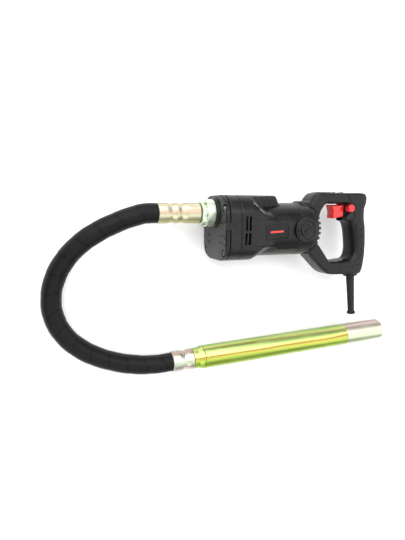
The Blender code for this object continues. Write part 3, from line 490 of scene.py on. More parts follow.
def dust_group() -> bpy.types.NodeTree:
    """Cement dust: sparse soft patches.

    Returns:
        The group.
    """
    group, nodes, given, out = group_of("cement_dust", {"Amount": 0.1}, ("Mask",))
    cloud = nodes.add("TexNoise", {"Vector": given.outputs[0], "Scale": 60.0, "Detail": 8.0,
                                   "Roughness": 0.7})
    patch = nodes.ranged(cloud.outputs[0], 0.5, 0.8, 0.0, 1.0)
    scaled = nodes.add("Math", {0: patch, 1: given.outputs[1]}, operation="MULTIPLY")
    group.links.new(scaled.outputs[0], out.inputs[0])
    return group


GROUPS = {"grain": grain_group(), "wear": wear_group(), "dust": dust_group()}
MADE: dict[str, bpy.types.Material] = {}


@dataclass(frozen=True)
class Finish:
    """A moulded, rubber or bare metal finish with grain, edge wear and a little dust."""

    slot: str
    dark: RGB
    light: RGB
    roughness: float
    metallic: float = 0.0
    grain: float = 900.0
    depth: float = 0.00006
    wear: float = 0.0
    worn: RGB = (0.2, 0.2, 0.2)
    dust: float = 0.0
    coat: float = 0.0
    specular: float = 0.5
    name: str = ""

    def colour(self, nodes: Nodes, where: Socket, blotch: Socket) -> Socket:
        """The clean base colour: dark to light by the blotch mask."""
        return nodes.mix(nodes.ranged(blotch, 0.3, 0.7, 0.0, 1.0), self.dark, self.light)

    def build(self) -> bpy.types.Material:
        """Make the material the first time it is asked for.

        Returns:
            The material.
        """
        title = self.name or self.slot
        if title in MADE:
            return MADE[title]
        made = MADE[title] = bpy.data.materials.new(title)
        made.use_nodes = True
        nodes = Nodes(made.node_tree)
        shader = made.node_tree.nodes["Principled BSDF"]
        where = nodes.add("TexCoord").outputs["Object"]
        grain = nodes.add("Group", node_tree=GROUPS["grain"])
        wear = nodes.add("Group", node_tree=GROUPS["wear"])
        dust = nodes.add("Group", node_tree=GROUPS["dust"])
        for node in (grain, wear, dust):
            made.node_tree.links.new(where, node.inputs[0])
        for node, value in ((grain, self.grain), (wear, self.wear), (dust, self.dust)):
            node.inputs[1].default_value = value
        base = self.colour(nodes, where, grain.outputs[1])
        base = nodes.mix(wear.outputs[0], base, self.worn)
        base = nodes.mix(dust.outputs[0], base, (0.42, 0.40, 0.37))
        rough = nodes.ranged(grain.outputs[1], 0.25, 0.75, self.roughness - 0.05,
                             self.roughness + 0.06)
        bump = nodes.add("Bump", {"Height": grain.outputs[0], "Distance": self.depth,
                                  "Strength": 0.6})
        for socket, key in ((base, "Base Color"), (rough, "Roughness"),
                            (bump.outputs[0], "Normal")):
            made.node_tree.links.new(socket, shader.inputs[key])
        shader.inputs["Metallic"].default_value = self.metallic
        shader.inputs["Coat Weight"].default_value = self.coat
        shader.inputs["Specular IOR Level"].default_value = self.specular
        made.diffuse_color = (*self.light, 1.0)
        return made


@dataclass(frozen=True)
class Chromate(Finish):
    """Iridescent zinc chromate: colours in bands round the piece, drifting along it; the poker's
    bands hold painted highlights and painted shade as well as film colours.
    """

    axis: Axis = HEAD
    bands: tuple[tuple[float, RGB], ...] = ()
    drift: float = 0.022

    def colour(self, nodes: Nodes, where: Socket, blotch: Socket) -> Socket:
        """Band colour by the angle round the axis, shifted by noise drawn out along it: film
        colour, with painted highlights and shade where the band list holds them.

        Args:
            nodes: the material's nodes.
            where: Object coordinates.
            blotch: the grain group's blotch mask, which the film doesn't follow.
        Returns:
            A colour socket.
        """
        angle = math.atan2(self.axis.along[1], self.axis.along[0])
        origin = Vector(self.axis.origin) * 0.001
        turn = Matrix.Rotation(-angle, 3, "Z")
        local = nodes.add("Mapping", {"Vector": where, "Location": -(turn @ origin),
                                      "Rotation": (0.0, 0.0, -angle)})
        parts = nodes.add("SeparateXYZ", {0: local.outputs[0]})
        round_it = nodes.add("CombineXYZ", {0: parts.outputs[1], 1: parts.outputs[2]})
        turn_share = nodes.add("TexGradient", {0: round_it.outputs[0]}, gradient_type="RADIAL")
        drawn = nodes.add("Mapping", {"Vector": local.outputs[0], "Scale": (5.0, 40.0, 40.0)})
        noise = nodes.add("TexNoise", {"Vector": drawn.outputs[0], "Scale": 1.0, "Detail": 3.0})
        shift = nodes.ranged(noise.outputs[0], 0.3, 0.7, -self.drift, self.drift)
        total = nodes.add("Math", {0: turn_share.outputs[0], 1: shift}, operation="ADD")
        wrapped = nodes.add("Math", {0: total.outputs[0]}, operation="FRACT")
        ramp = nodes.add("ValToRGB", {0: wrapped.outputs[0]})
        ramp.color_ramp.interpolation = "EASE"
        stops = ramp.color_ramp.elements
        while len(stops) < len(self.bands):
            stops.new(0.5)
        for stop, (place, shade) in zip(stops, self.bands):
            stop.position, stop.color = place, (*shade, 1.0)
        return ramp.outputs[0]


@dataclass(frozen=True)
class Wrapped(Finish):
    """Rubberised cloth tape, with painted shade in the step where one turn laps over the next."""

    def colour(self, nodes: Nodes, where: Socket, blotch: Socket) -> Socket:
        """Painted shade in the lap step: dark to light by how far the tape has risen over the turn
        below it.
        """
        lap = nodes.add("Attribute", attribute_name="lap").outputs["Fac"]
        return nodes.mix(nodes.ranged(lap, 0.0, 0.3, 0.0, 1.0), self.dark, self.light)


CASE = Finish("case_plastic", (0.003, 0.003, 0.0033), (0.007, 0.007, 0.0075), 0.33, wear=0.35,
              worn=(0.07, 0.07, 0.075), dust=0.006, specular=0.24)
# Light grey case plastic for thin ribs that are painted highlights on the housing's facet edges.
EDGE_HIGHLIGHT = Finish("case_plastic", (0.19, 0.19, 0.20), (0.30, 0.30, 0.31), 0.4, name="painted_edge_highlight")
BADGE = Finish("case_plastic", (0.003, 0.003, 0.003), (0.006, 0.006, 0.006), 0.3,
               grain=2400.0, depth=0.00002, specular=0.2, name="badge_plate")
RUBBER = Finish("grip_rubber", (0.008, 0.008, 0.008), (0.016, 0.016, 0.016), 0.62,
                grain=1500.0, depth=0.0001, dust=0.012, specular=0.22)
RED = Finish("red_plastic", (0.55, 0.004, 0.006), (0.74, 0.012, 0.012), 0.32, grain=1800.0,
             depth=0.00002, wear=0.2, worn=(0.85, 0.16, 0.13), coat=0.3)
# Its dark colour is the painted shade in each lap step, its light colour the tape's own.
TAPE = Wrapped("hose_rubber", (0.0012, 0.0012, 0.0012), (0.006, 0.006, 0.0065), 0.4,
               grain=1400.0, depth=0.0001, dust=0.003, specular=0.12)
PALE = Finish("pale_zinc", (0.56, 0.64, 0.50), (0.68, 0.75, 0.62), 0.38, 1.0, grain=500.0,
              depth=0.00001)
STEEL = Finish("steel", (0.42, 0.42, 0.43), (0.60, 0.60, 0.61), 0.32, 1.0, depth=0.00001)
DARK_STEEL = Finish("dark_steel", (0.07, 0.07, 0.075), (0.14, 0.14, 0.15), 0.4, 1.0,
                    depth=0.00002)
BLACKED = Finish("steel", (0.10, 0.10, 0.105), (0.20, 0.20, 0.21), 0.42, 1.0, depth=0.00002,
                 name="steel_blacked")
LAMINATIONS = Finish("laminations", (0.16, 0.16, 0.17), (0.26, 0.26, 0.28), 0.46, 1.0,
                     depth=0.00003)
COPPER = Finish("copper", (0.62, 0.24, 0.10), (0.84, 0.42, 0.20), 0.3, 1.0, grain=1600.0)
BRASS = Finish("brass", (0.60, 0.44, 0.16), (0.80, 0.62, 0.28), 0.32, 1.0, depth=0.00002)
CARBON = Finish("carbon", (0.018, 0.018, 0.018), (0.04, 0.04, 0.04), 0.62)
NYLON = Finish("nylon", (0.004, 0.004, 0.0045), (0.01, 0.01, 0.011), 0.42, specular=0.26)
GOLD_BANDS = ((0.0, (0.30, 0.28, 0.13)), (0.2, (0.48, 0.44, 0.26)), (0.4, (0.40, 0.34, 0.24)),
              (0.54, (0.36, 0.32, 0.19)), (0.64, (0.66, 0.62, 0.44)), (0.72, (0.36, 0.27, 0.20)),
              (0.80, (0.58, 0.56, 0.38)), (0.90, (0.44, 0.42, 0.22)), (1.0, (0.30, 0.28, 0.13)))
# Film colours round the poker, with painted highlights (the yellow and pale green bands from 0.595
# to 0.69) and painted shade (the dark green band at 0.46 on the top edge).
POKER_FILM_AND_HIGHLIGHTS = ((0.0, (0.24, 0.33, 0.05)), (0.18, (0.42, 0.50, 0.09)), (0.34, (0.50, 0.46, 0.15)),
               (0.46, (0.07, 0.14, 0.045)), (0.525, (0.24, 0.40, 0.10)),
               (0.595, (0.60, 0.62, 0.20)), (0.645, (0.38, 0.55, 0.18)),
               (0.69, (0.66, 0.60, 0.18)), (0.715, (0.30, 0.19, 0.05)),
               (0.738, (0.48, 0.44, 0.09)), (0.78, (0.36, 0.50, 0.08)),
               (0.90, (0.30, 0.44, 0.05)), (1.0, (0.24, 0.33, 0.05)))
SILVER_BANDS = ((0.0, (0.34, 0.38, 0.28)), (0.2, (0.52, 0.42, 0.38)), (0.4, (0.44, 0.52, 0.40)),
                (0.56, (0.40, 0.30, 0.27)), (0.66, (0.62, 0.58, 0.50)), (0.76, (0.44, 0.48, 0.38)),
                (0.88, (0.58, 0.46, 0.40)), (1.0, (0.34, 0.38, 0.28)))
GOLD = Chromate("gold_zinc", (0.7, 0.64, 0.4), (0.8, 0.76, 0.5), 0.36, 1.0, grain=400.0,
                depth=0.00001, axis=OUTPUT, bands=GOLD_BANDS)
GREEN = Chromate("green_zinc", (0.5, 0.6, 0.2), (0.6, 0.7, 0.3), 0.34, 1.0, grain=300.0,
                 depth=0.00001, bands=POKER_FILM_AND_HIGHLIGHTS)
SILVER = Chromate("pale_zinc", (0.7, 0.7, 0.6), (0.8, 0.8, 0.7), 0.36, 1.0, grain=400.0,
                  depth=0.00001, bands=SILVER_BANDS, name="pale_zinc_crimped")
TIP = Chromate("pale_zinc", (0.7, 0.7, 0.6), (0.8, 0.8, 0.7), 0.34, 1.0, grain=400.0,
               depth=0.00001, name="pale_zinc_tip", bands=(
                   (0.0, (0.36, 0.44, 0.26)), (0.3, (0.52, 0.58, 0.42)),
                   (0.5, (0.30, 0.23, 0.20)), (0.58, (0.52, 0.42, 0.38)),
                   (0.66, (0.66, 0.62, 0.50)), (0.76, (0.52, 0.58, 0.40)),
                   (0.9, (0.46, 0.54, 0.34)), (1.0, (0.36, 0.44, 0.26))))


def dress(piece: Thing, finish: Finish, body: Body | tuple, *nodes: str) -> Thing:
    """Shade, paint and mount a finished piece.

    Args:
        piece: the piece, in place.
        finish: its finish.
        body: the body it rides on, or (body, body, start, end), for which its place is only baked
            into its mesh.
        nodes: the solids that it stands for.
    Returns:
        The piece.
    """
    piece.data.materials.clear()
    piece.data.materials.append(finish.build())
    piece.data.shade_smooth()
    piece.data.set_sharp_from_angle(angle=math.radians(32))
    if isinstance(body, Body):
        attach(piece, body.value)
    else:
        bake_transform(piece)
    if nodes:
        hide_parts(*nodes)
    LOG.info("%s: %d faces, %s", piece.name, len(piece.data.polygons), finish.slot)
    return piece


def weighted(piece: Thing) -> Thing:
    """Keep large flat faces flat in the shading of a cut piece.

    Args:
        piece: the piece.
    Returns:
        The same piece.
    """
    step = piece.modifiers.new("flat_faces", "WEIGHTED_NORMAL")
    step.keep_sharp = True
    return piece


# ------------------------------------------------------------------ gear head
CASE_SIDE = [(24, 49), (33, 44.5), (41, 36), (45, 26), (45, -24), (41, -34), (30, -41), (20, -43)]
CAVITY_SIDE = [(20, 45), (28, 40), (28, 25), (41, 21), (41, -19), (27, -24), (24, -35), (15, -39)]


def both_sides(side: list) -> list:
    """A closed outline from its right-hand side, which runs from top to bottom."""
    return side + [(-x, y) for x, y in reversed(side)]


@dataclass
class GearHead:
    """Front cover, case, their four screws and the coupling nut."""

    screws: list = field(default_factory=lambda: [(36.0, 30.0), (34.0, -31.0)])
    screw_r: float = 3.8
    front: float = 8.0
    nut_r: float = 19.5
    bore: float = 16.8

    def spots(self) -> list[Axis]:
        """The four screws' own lines, near side first in each pair."""
        return [Axis((MOTOR.origin[0], up, MOTOR.origin[2] + sign * across))
                for across, up in self.screws for sign in (1, -1)]

    def cover(self) -> None:
        """The cover: case outline, a collar round the spindle, sunk screws, side bosses, ribs."""
        piece = prism("gear_cover_skin", MOTOR, both_sides(CASE_SIDE), self.front, 15, 2.4, 5,
                      True)
        collar = turned("collar", OUTPUT, [(9, 0), (9, 22), (5, 21), (5, 0)], 1.0)
        parts = [collar]
        for sign in (1, -1):
            top = 46.6 if sign > 0 else 45.0
            parts.append(turned(f"side_boss_{sign}", Axis((-11.4, 6.2, 45), (0, 0, sign)),
                                [(36, 0), (36, 5.6), (top, 5.6), (top, 0)], 0.8, 40))
            parts += [prism(f"rib_{sign}_{up}", MOTOR,
                            [(sign * 20, up), (sign * 42, up - 3), (sign * 42, up - 6),
                             (sign * 20, up - 4)], 7.2, 10, 0.5, 0, True) for up in (12, -6, -16)]
        work_on(piece, Joining.WITH, *parts)
        cuts = [prism("hollow", MOTOR, both_sides(CAVITY_SIDE), 11.5, 16, 0, 3, True)]
        for spot in self.spots():
            cuts.append(turned("pocket", spot, [(4, 0), (4, 5), (11.1, 5), (11.1, 0)], 0, 32))
            cuts.append(turned("hole", spot, [(9, 0), (9, 2.3), (16, 2.3), (16, 0)], 0, 24))
        for sign in (1, -1):
            cuts.append(prism("notch", MOTOR, [(sign * 35, 25.5), (sign * 48, 29),
                                               (sign * 48, 33), (sign * 35, 37)], 6, 11.1, 0, 1,
                              True))
        cuts.append(turned("nose_hole", OUTPUT, [(3, 0), (3, self.bore), (13, self.bore), (13, 0)]))
        work_on(piece, Joining.AWAY, *cuts)
        dress(weighted(piece), CASE, Body.MOTOR, "gear_cover")

    def case(self) -> None:
        """The case: the same outline, two bearing seats, and a shadow line round its front."""
        piece = prism("gear_case_skin", MOTOR, both_sides(CASE_SIDE), 15.3, 31, 0.7, 5, True)
        cuts = [prism("hollow", MOTOR, both_sides(CAVITY_SIDE), 14, 25, 0, 3, True),
                turned("seat", MOTOR, [(20, 0), (20, 11.3), (33, 11.3), (33, 0)]),
                turned("seat", OUTPUT, [(20, 0), (20, 10.8), (30.2, 10.8), (30.2, 0)])]
        cuts += [turned("hole", spot, [(14, 0), (14, 2.3), (29, 2.3), (29, 0)], 0, 24)
                 for spot in self.spots()]
        work_on(piece, Joining.AWAY, *cuts)
        dress(weighted(piece), CASE, Body.MOTOR, "gear_case")

    def long_screws(self) -> None:
        """Four domed screws with a cross recess."""
        for number, spot in enumerate(self.spots(), 1):
            screw = turned(f"cover_screw_{number}", spot, [
                (28, 0), (28, 2), (10.8, 2), (10.8, self.screw_r), (9.3, self.screw_r),
                (8.2, 2.8), (7.9, 0)], 0.35, 40)
            cross_cut(screw, spot, 2.1, 0.45, 7, 9.4)
            dress(screw, BLACKED, Body.MOTOR, f"gear_cover_screw_{number}")

    def nut(self) -> None:
        """The coupling nut: a round body, a six-sided front, and a stepped bore."""
        piece = turned("nut", OUTPUT, [(-8, 0), (-8, 19.4), (4.5, self.nut_r), (4.5, 0)], 1.1, 96)
        corners = np.linspace(0, 2 * math.pi, 6, endpoint=False) + 0.2
        front = prism("nut_front", OUTPUT, np.c_[np.sin(corners), np.cos(corners)] * 19.3,
                      -15, -6, 1.0, 0.8, True)
        work_on(piece, Joining.WITH, front)
        work_on(piece, Joining.AWAY, turned("nut_bore", OUTPUT, [
            (-16, 0), (-16, 13.6), (-15, 13.6), (-14.4, 13.1), (-10.8, 13.1), (-10.8, 16.8),
            (3.9, 16.8), (4.5, 17.4), (5.5, 17.4), (5.5, 0)], 0, 72))
        dress(weighted(piece), PALE, Body.MOTOR, "coupling_nut")

    def build(self) -> None:
        """Make every piece of the gear head."""
        self.cover()
        self.case()
        self.long_screws()
        self.nut()


# ------------------------------------------------------------------ motor housing
@dataclass
class Housing:
    """The barrel round the motor: it grows out of the case's outline and ends round."""

    start: float = 31.3
    end: float = 132.0
    radius: float = 39.0
    blend_from: float = 50.0
    blend_to: float = 63.0
    run_out: float = 36.0
    block: tuple[float, float] = (91.0, 105.0)
    block_angle: float = 0.46
    block_fade: float = 0.15
    columns: int = 240

    def section(self, x: Array, angle: Array) -> Array:
        """Radius at x and an angle from the top: case outline eased into a circle.

        r = (1-s) r_outline(angle) + s R, with s = smoothstep of x between two ends. They lie
        at the rear of the raised block near the top, and follow sin^2 of the angle elsewhere,
        so that the sides run out slowly and the belly steps down. The outline is sampled along
        its edges, since a radius drawn straight between two corners would bulge a flat side.

        Args:
            x: places along the motor.
            angle: angles from the top.
        Returns:
            The radius at each.
        """
        corners = eased(both_sides(CASE_SIDE), 5.0, True, 6)
        share = np.linspace(0, 1, 24, endpoint=False)[:, None]
        outline = (corners[:, None] * (1 - share)
                   + np.roll(corners, -1, 0)[:, None] * share).reshape(-1, 2)
        turn = np.arctan2(outline[:, 0], outline[:, 1])
        order = np.argsort(turn)
        reach = np.interp(np.arctan2(np.sin(angle), np.cos(angle)), turn[order],
                          np.linalg.norm(outline, axis=1)[order], period=2 * math.pi)
        off_top = np.abs(np.arctan2(np.sin(angle), np.cos(angle)))
        away = np.clip((off_top - self.block_angle) / self.block_fade, 0, 1)
        away = away * away * (3 - 2 * away)
        side = self.blend_to + self.run_out * np.sin(angle) ** 2
        first = (1 - away) * self.block[0] + away * self.blend_from
        last = (1 - away) * self.block[1] + away * side
        t = np.clip((x - first) / (last - first), 0, 1)
        s = t * t * (3 - 2 * t)
        return (1 - s) * reach + s * self.radius

    def skin(self, x: Array, y: Array) -> Array:
        """Height of the near side over the motor axis, read off the section.

        Args:
            x: places along the motor.
            y: heights towards the tool's top.
        Returns:
            How far the skin stands out at each.
        """
        angle = np.linspace(0.15, math.pi - 0.15, 181)
        radius = self.section(np.asarray(x)[..., None], angle)
        up, out = radius * np.cos(angle), radius * np.sin(angle)
        nearest = np.abs(up - np.asarray(y)[..., None]).argmin(-1)
        return np.take_along_axis(out, nearest[..., None], -1)[..., 0]

    def barrel(self) -> Thing:
        """The skin as rows along x and columns round the axis, with rounded ends.

        Returns:
            The piece.
        """
        ends = np.array([0.0, 0.3, 1.0])
        x = np.r_[self.start + ends, np.arange(self.start + 2, self.end - 1.5, 1.6),
                  self.end - ends[::-1]]
        drawn = np.r_[0.9, 0.35, 0.0, np.zeros(len(x) - 6), 0.0, 0.35, 0.9]
        angle = np.linspace(0, 2 * math.pi, self.columns, endpoint=False)
        r = self.section(x[:, None], angle) - drawn[:, None]
        x_all = np.broadcast_to(x[:, None], r.shape)
        return surface("motor_housing_skin", MOTOR.place(
            np.stack([x_all, r * np.cos(angle), r * np.sin(angle)], -1)))

    def details(self, far: bool) -> tuple[list[Thing], list[Thing]]:
        """Bosses and rails to join, then slots, grooves and the badge recess to cut.

        Args:
            far: whether they are for the far side.
        Returns:
            The pieces to join and the pieces to cut.
        """
        axis, sign = (BRUSH_FAR, -1) if far else (BRUSH_NEAR, 1)
        joined = [turned("brush_boss", axis, [(28, 0), (28, 17), (42.4, 17), (43.5, 16),
                                              (43.5, 12.4), (42.9, 12), (42.9, 0)], 0.35, 96),
                  strip("lower_rail", [(64, -24.5), (91, -25), (95, -29.5), (131, -29)], 1.3,
                        -1.5, 0.7, self.skin, far),
                  strip("panel_edge", [(108, 30.5), (131, 30.5)], 0.8, -1.5, 0.5, self.skin, far)]
        cuts = []
        for left, right, low, high, slant in ((37.6, 40.7, -0.4, 19.6, 0.4),
                                              (42.7, 46.4, -0.4, 19.6, 0.4),
                                              (36.9, 40.3, -19.8, -3.2, 1.0),
                                              (42.0, 46.0, -19.8, -3.2, 1.0)):
            slot = [(left - slant, low), (right - slant, low), (right, high), (left, high)]
            ends = sorted((sign * 30, sign * 52))
            cuts.append(prism("air_slot", MOTOR, slot, *ends, 0, 0.8))
        cuts.append(strip("upper_groove", [(50, 14.6), (86.6, 14.4), (93, 21.8), (130, 21.8)],
                          0.75, -1.3, 3, self.skin, far))
        cuts.append(strip("lower_groove", [(52, -21.6), (92, -22.3), (96.5, -26.8), (130, -26.4)],
                          0.7, -1.1, 3, self.skin, far))
        cuts.append(strip("badge_recess", [(69, -3.2), (107, -1.4)], 11.2, -0.9, 4, self.skin,
                          far, 0.1))
        cuts.append(turned("boss_ring", axis, [(42.0, 13.6), (45, 13.6), (45, 15.0), (42.0, 15.0)],
                           0, 96, True))
        return joined, cuts

    def build(self) -> None:
        """Join, bore and cut the housing, then add its badge plates and the light ribs that are
        painted highlights on its facet edges.
        """
        piece = self.barrel()
        near, near_cuts = self.details(False)
        far, far_cuts = self.details(True)
        work_on(piece, Joining.WITH, *near, *far)
        bore = turned("bore", MOTOR, [(29, 0), (29, 36), (152, 36), (152, 0)], 0, 96)
        caps = [turned("cap_bore", axis, [(30, 0), (30, 7.5), (41.3, 7.5), (41.3, 9.8),
                                          (46, 9.8), (46, 0)], 0, 64)
                for axis in (BRUSH_NEAR, BRUSH_FAR)]
        work_on(piece, Joining.AWAY, bore, *caps, *near_cuts, *far_cuts)
        dress(weighted(piece), CASE, Body.MOTOR, "motor_housing")
        for far_side, side in ((False, "near"), (True, "far")):
            plate = strip(f"badge_plate_{side}", [(70, -3.2), (106, -1.45)], 10.4, -0.85, -0.35,
                          self.skin, far_side, 0.1)
            dress(plate, BADGE, Body.MOTOR)
            line = strip(f"badge_line_{side}", [(77, -2.9), (99, -1.9)], 1.3, -0.6, -0.15,
                         self.skin, far_side, 0.1)
            dress(line, RED, Body.MOTOR)
            # Light grey ribs: painted highlights along the edges of the upper facets.
            for number, path in enumerate(([(51, 38), (57, 33.2)], [(60, 29.6), (68, 23.4)])):
                highlight_rib = strip(f"painted_highlight_rib_{side}_{number}", path, 0.55, -0.6, 0.35, self.skin,
                             far_side, 0.2)
                dress(highlight_rib, EDGE_HIGHLIGHT, Body.MOTOR)


@dataclass
class BrushCaps:
    """Screw caps over the two brushes."""

    radius: float = 9.5
    top: float = 45.0

    def build(self) -> None:
        """Each cap: a dished disc with a rim, a centre button and a driver slot."""
        for axis, side in ((BRUSH_NEAR, "near"), (BRUSH_FAR, "far")):
            cap = turned(f"brush_cap_{side}_skin", axis, [
                (36.3, 0), (36.3, 7.2), (41.6, 7.2), (41.6, self.radius),
                (self.top - 0.3, self.radius), (self.top, 8.8), (self.top, 7.8),
                (self.top - 0.8, 7.2), (self.top - 0.8, 5.4), (self.top, 5.0), (self.top, 0)],
                0.25, 72)
            turn = math.radians(40)
            way = np.array([[math.cos(turn), math.sin(turn)], [-math.sin(turn), math.cos(turn)]])
            slot = np.array([(-4.6, -0.8), (4.6, -0.8), (4.6, 0.8), (-4.6, 0.8)]) @ way
            cutter = prism("cap_slot", axis, slot[:, ::-1], self.top - 1.4, self.top + 1, 0, 0,
                           True)
            work_on(cap, Joining.AWAY, cutter)
            dress(cap, NYLON, Body.MOTOR, f"brush_cap_{side}")


# ------------------------------------------------------------------ handle
STATIONS = np.array([  # outer edge, inner edge, squareness
    (140, 36, 172, 6, 5), (156, 40.5, 172.5, 10, 5), (161.5, 47.5, 176, 24, 5),
    (167.5, 53.6, 181, 32, 5), (174, 55.3, 188, 38, 5), (200, 55.3, 200, 38, 5),
    (225, 55.3, 225, 38, 5), (254, 55.3, 224, 37, 5), (262, 50.5, 225, 33, 4.4),
    (262.5, 41, 226, 28, 4), (259.8, 30, 226, 22, 3.4), (261.5, 15, 221, 14, 3),
    (262.3, 9, 229, 9.5, 2.8), (263.2, 2, 233.2, 2, 2.8), (264.1, -10, 235.6, -10, 2.8),
    (264.5, -22, 237.2, -22, 2.8), (263.9, -33, 238.5, -34, 3), (262.5, -47, 236.5, -44, 3.4),
    (259, -66, 231, -48.4, 4), (253, -73.5, 222, -49.6, 4.6), (235, -73.3, 212, -50.8, 5),
    (212, -73, 201, -51, 5), (196, -71.7, 194.6, -51, 5), (188, -68.5, 190, -45, 5),
    (180, -62, 184, -36.5, 5), (168, -50.5, 177, -27, 5), (157, -40, 172.5, -20, 5),
    (146, -32, 172, -8, 5)], float)


@dataclass
class Handle:
    """The D-handle with the motor's tail, in two halves, and what is fitted to it."""

    half: float = 18.0
    screws: list = field(default_factory=lambda: [(196.0, 46.5), (250.0, -20.0), (214.0, -62.0)])
    gap: float = 0.15

    def loop(self) -> Thing:
        """The D: a squared ellipse carried round its edges.

        A point is centre + w |cos t|^(2/n) sign(cos t) across and
        half |sin t|^(2/n) sign(sin t) out, with n running from square bars to the rounder grip.

        Returns:
            The loop.
        """
        rows = flowing(STATIONS, 6, True)
        outer, inner, power = rows[:, :2], rows[:, 2:4], 2 / rows[:, 4:5]
        t = np.linspace(0, 2 * math.pi, 64, endpoint=False) + 0.02
        bend_c = np.sign(np.cos(t)) * np.abs(np.cos(t)) ** power
        bend_s = np.sign(np.sin(t)) * np.abs(np.sin(t)) ** power
        flat = (outer + inner)[:, None] / 2 + (outer - inner)[:, None] / 2 * bend_c[..., None]
        grid = np.concatenate([flat, (self.half * bend_s)[..., None]], -1)
        return surface("handle_loop", MOTOR.place(grid), True)

    def whole(self, name: str) -> Thing:
        """Loop, tail, boot collar and the ribs on the top bar as one body.

        Args:
            name: the object's name.
        Returns:
            The body.
        """
        piece = self.loop()
        piece.name = name
        tail = turned("tail", MOTOR, [(132.3, 0), (132.3, 39), (150, 39), (158, 37.6),
                                      (164, 34.5), (166.5, 31.5), (166.5, 0)], 1.2, 144)
        collar = turned("boot_collar", BOOT, [(-6, 0), (-6, 11.5), (3.5, 11.5), (3.5, 0)], 1.0)
        ribs = [prism(f"rib_{x}", MOTOR, [(x - 1.6, 53), (x + 1.6, 53), (x + 1.1, 56.1),
                                          (x - 1.1, 56.1)], -12, 12, 0.6, 0.5)
                for x in (176.4, 184.9, 192.7, 201.9, 216.8)]
        return work_on(piece, Joining.WITH, tail, collar, *ribs)

    def through(self, x: float, y: float, sign: int = 1) -> Axis:
        """A line through the handle from its middle plane, to the near side unless sign is -1."""
        return Axis((x + MOTOR.origin[0], y, MOTOR.origin[2]), (0, 0, sign))

    def face(self, x: Array, y: Array) -> Array:
        """The handle's flat side: the same height at every place."""
        return 0 * x + self.half

    def cutters(self) -> list[Thing]:
        """Bearing seat, trigger slot, switch room, button bore, screw holes, vents, lines.

        Returns:
            The pieces to cut away.
        """
        made = [turned("tail_room", MOTOR, [(110, 0), (110, 36), (148, 36), (148, 11.3),
                                            (158, 11.3), (158, 0)], 0, 96)]
        for axis in (BRUSH_NEAR, BRUSH_FAR):
            made.append(turned("boss_room", axis, [(25, 0), (25, 17.4), (48, 17.4), (48, 0)], 0,
                               96))
        made.append(prism("trigger_slot", MOTOR, [(204, 12.3), (228, 12.3), (228, 38), (204, 38)],
                          -9.4, 9.4, 0, 0.6))
        made.append(prism("switch_room", MOTOR, [(212, 17.8), (252.2, 17.8), (252.2, 43.7),
                                                 (212, 43.7)], -11, 11, 0, 0.6))
        made.append(turned("button_bore", BUTTON, [(9, 0), (9, 6.5), (22, 6.5), (22, 0)], 0, 64))
        made.append(turned("button_ring", BUTTON, [(17.2, 7.6), (20, 7.6), (20, 8.5), (17.2, 8.5)],
                           0, 64, True))
        pad = GripPad()
        made.append(prism("pad_groove", MOTOR, pad.outline(0.3), -9.3, 9.3))
        made.append(prism("clamp_room", MOTOR, [(236.5, -64), (255.5, -64), (255.5, -53),
                                                (236.5, -53)], -9, 9, 0, 0.6))
        for x, y in self.screws:
            spot = self.through(x, y)
            made.append(turned("screw_hole", spot, [(10.5, 0), (10.5, 2), (-12.2, 2),
                                                    (-12.2, 3.5), (-22, 3.5), (-22, 0)], 0, 40))
        made.append(turned("boot_seat", BOOT, [(30, 0), (30, 6.9), (-3, 6.9), (-3, 9.3),
                                               (-9, 9.3), (-9, 0)], 0, 64))
        for far in (False, True):
            sign = -1 if far else 1
            for y in (-17, -9.5, -2, 5.5, 13, 20.5):
                made.append(prism("tail_notch", MOTOR, [(159.5, y - 1.9), (169, y - 1.9),
                                                        (169, y + 1.9), (159.5, y + 1.9)],
                                  *sorted((sign * 19.5, sign * 42)), 0, 0.8))
            for path in ([(213, 53.4), (220.6, 52), (226.7, 45.8), (229.5, 40.5)],
                         [(203, -52.5), (209.3, -54.3), (213.6, -61), (249.2, -57)],
                         [(236.5, 24), (236, 14), (232.5, 8)]):
                made.append(strip("parting_line", path, 0.55, -1.0, 3, self.face, far))
            for x, y in ((250, -2.4), (250.3, -12.7), (250.3, -33.7), (249.5, -43)):
                dimple = self.through(x, y, sign)
                made.append(turned("dimple", dimple, [(16.6, 0), (17.0, 1.1), (17.8, 1.7),
                                                      (19.5, 2.0), (19.5, 0)], 0, 32))
        return made

    def shells(self) -> None:
        """Two halves of the whole, parted on the tool's middle plane."""
        whole = work_on(self.whole("handle_whole"), Joining.AWAY, *self.cutters())
        for name, low, high in (("near", -60, self.gap), ("far", -self.gap, 60)):
            shell = bpy.data.objects.new(f"handle_shell_{name}_skin", whole.data.copy())
            bpy.context.scene.collection.objects.link(shell)
            away = prism("other_half", MOTOR, [(100, -120), (300, -120), (300, 90), (100, 90)],
                         low, high)
            work_on(shell, Joining.AWAY, away)
            dress(weighted(shell), CASE, Body.MOTOR, f"handle_shell_{name}")
        bpy.data.objects.remove(whole, do_unlink=True)

    def shell_screws(self) -> None:
        """Three sunk screws with a cross recess, driven from the far side."""
        for number, (x, y) in enumerate(self.screws, 1):
            spot = self.through(x, y)
            screw = turned(f"handle_screw_{number}_skin", spot, [
                (10, 0), (10, 1.7), (-12.5, 1.7), (-12.5, 3.2), (-14.4, 3.2), (-15, 2.4),
                (-15.1, 0)], 0.25, 36)
            cross_cut(screw, spot, 1.8, 0.4, -16, -13.8)
            dress(screw, DARK_STEEL, Body.MOTOR, f"handle_screw_{number}")

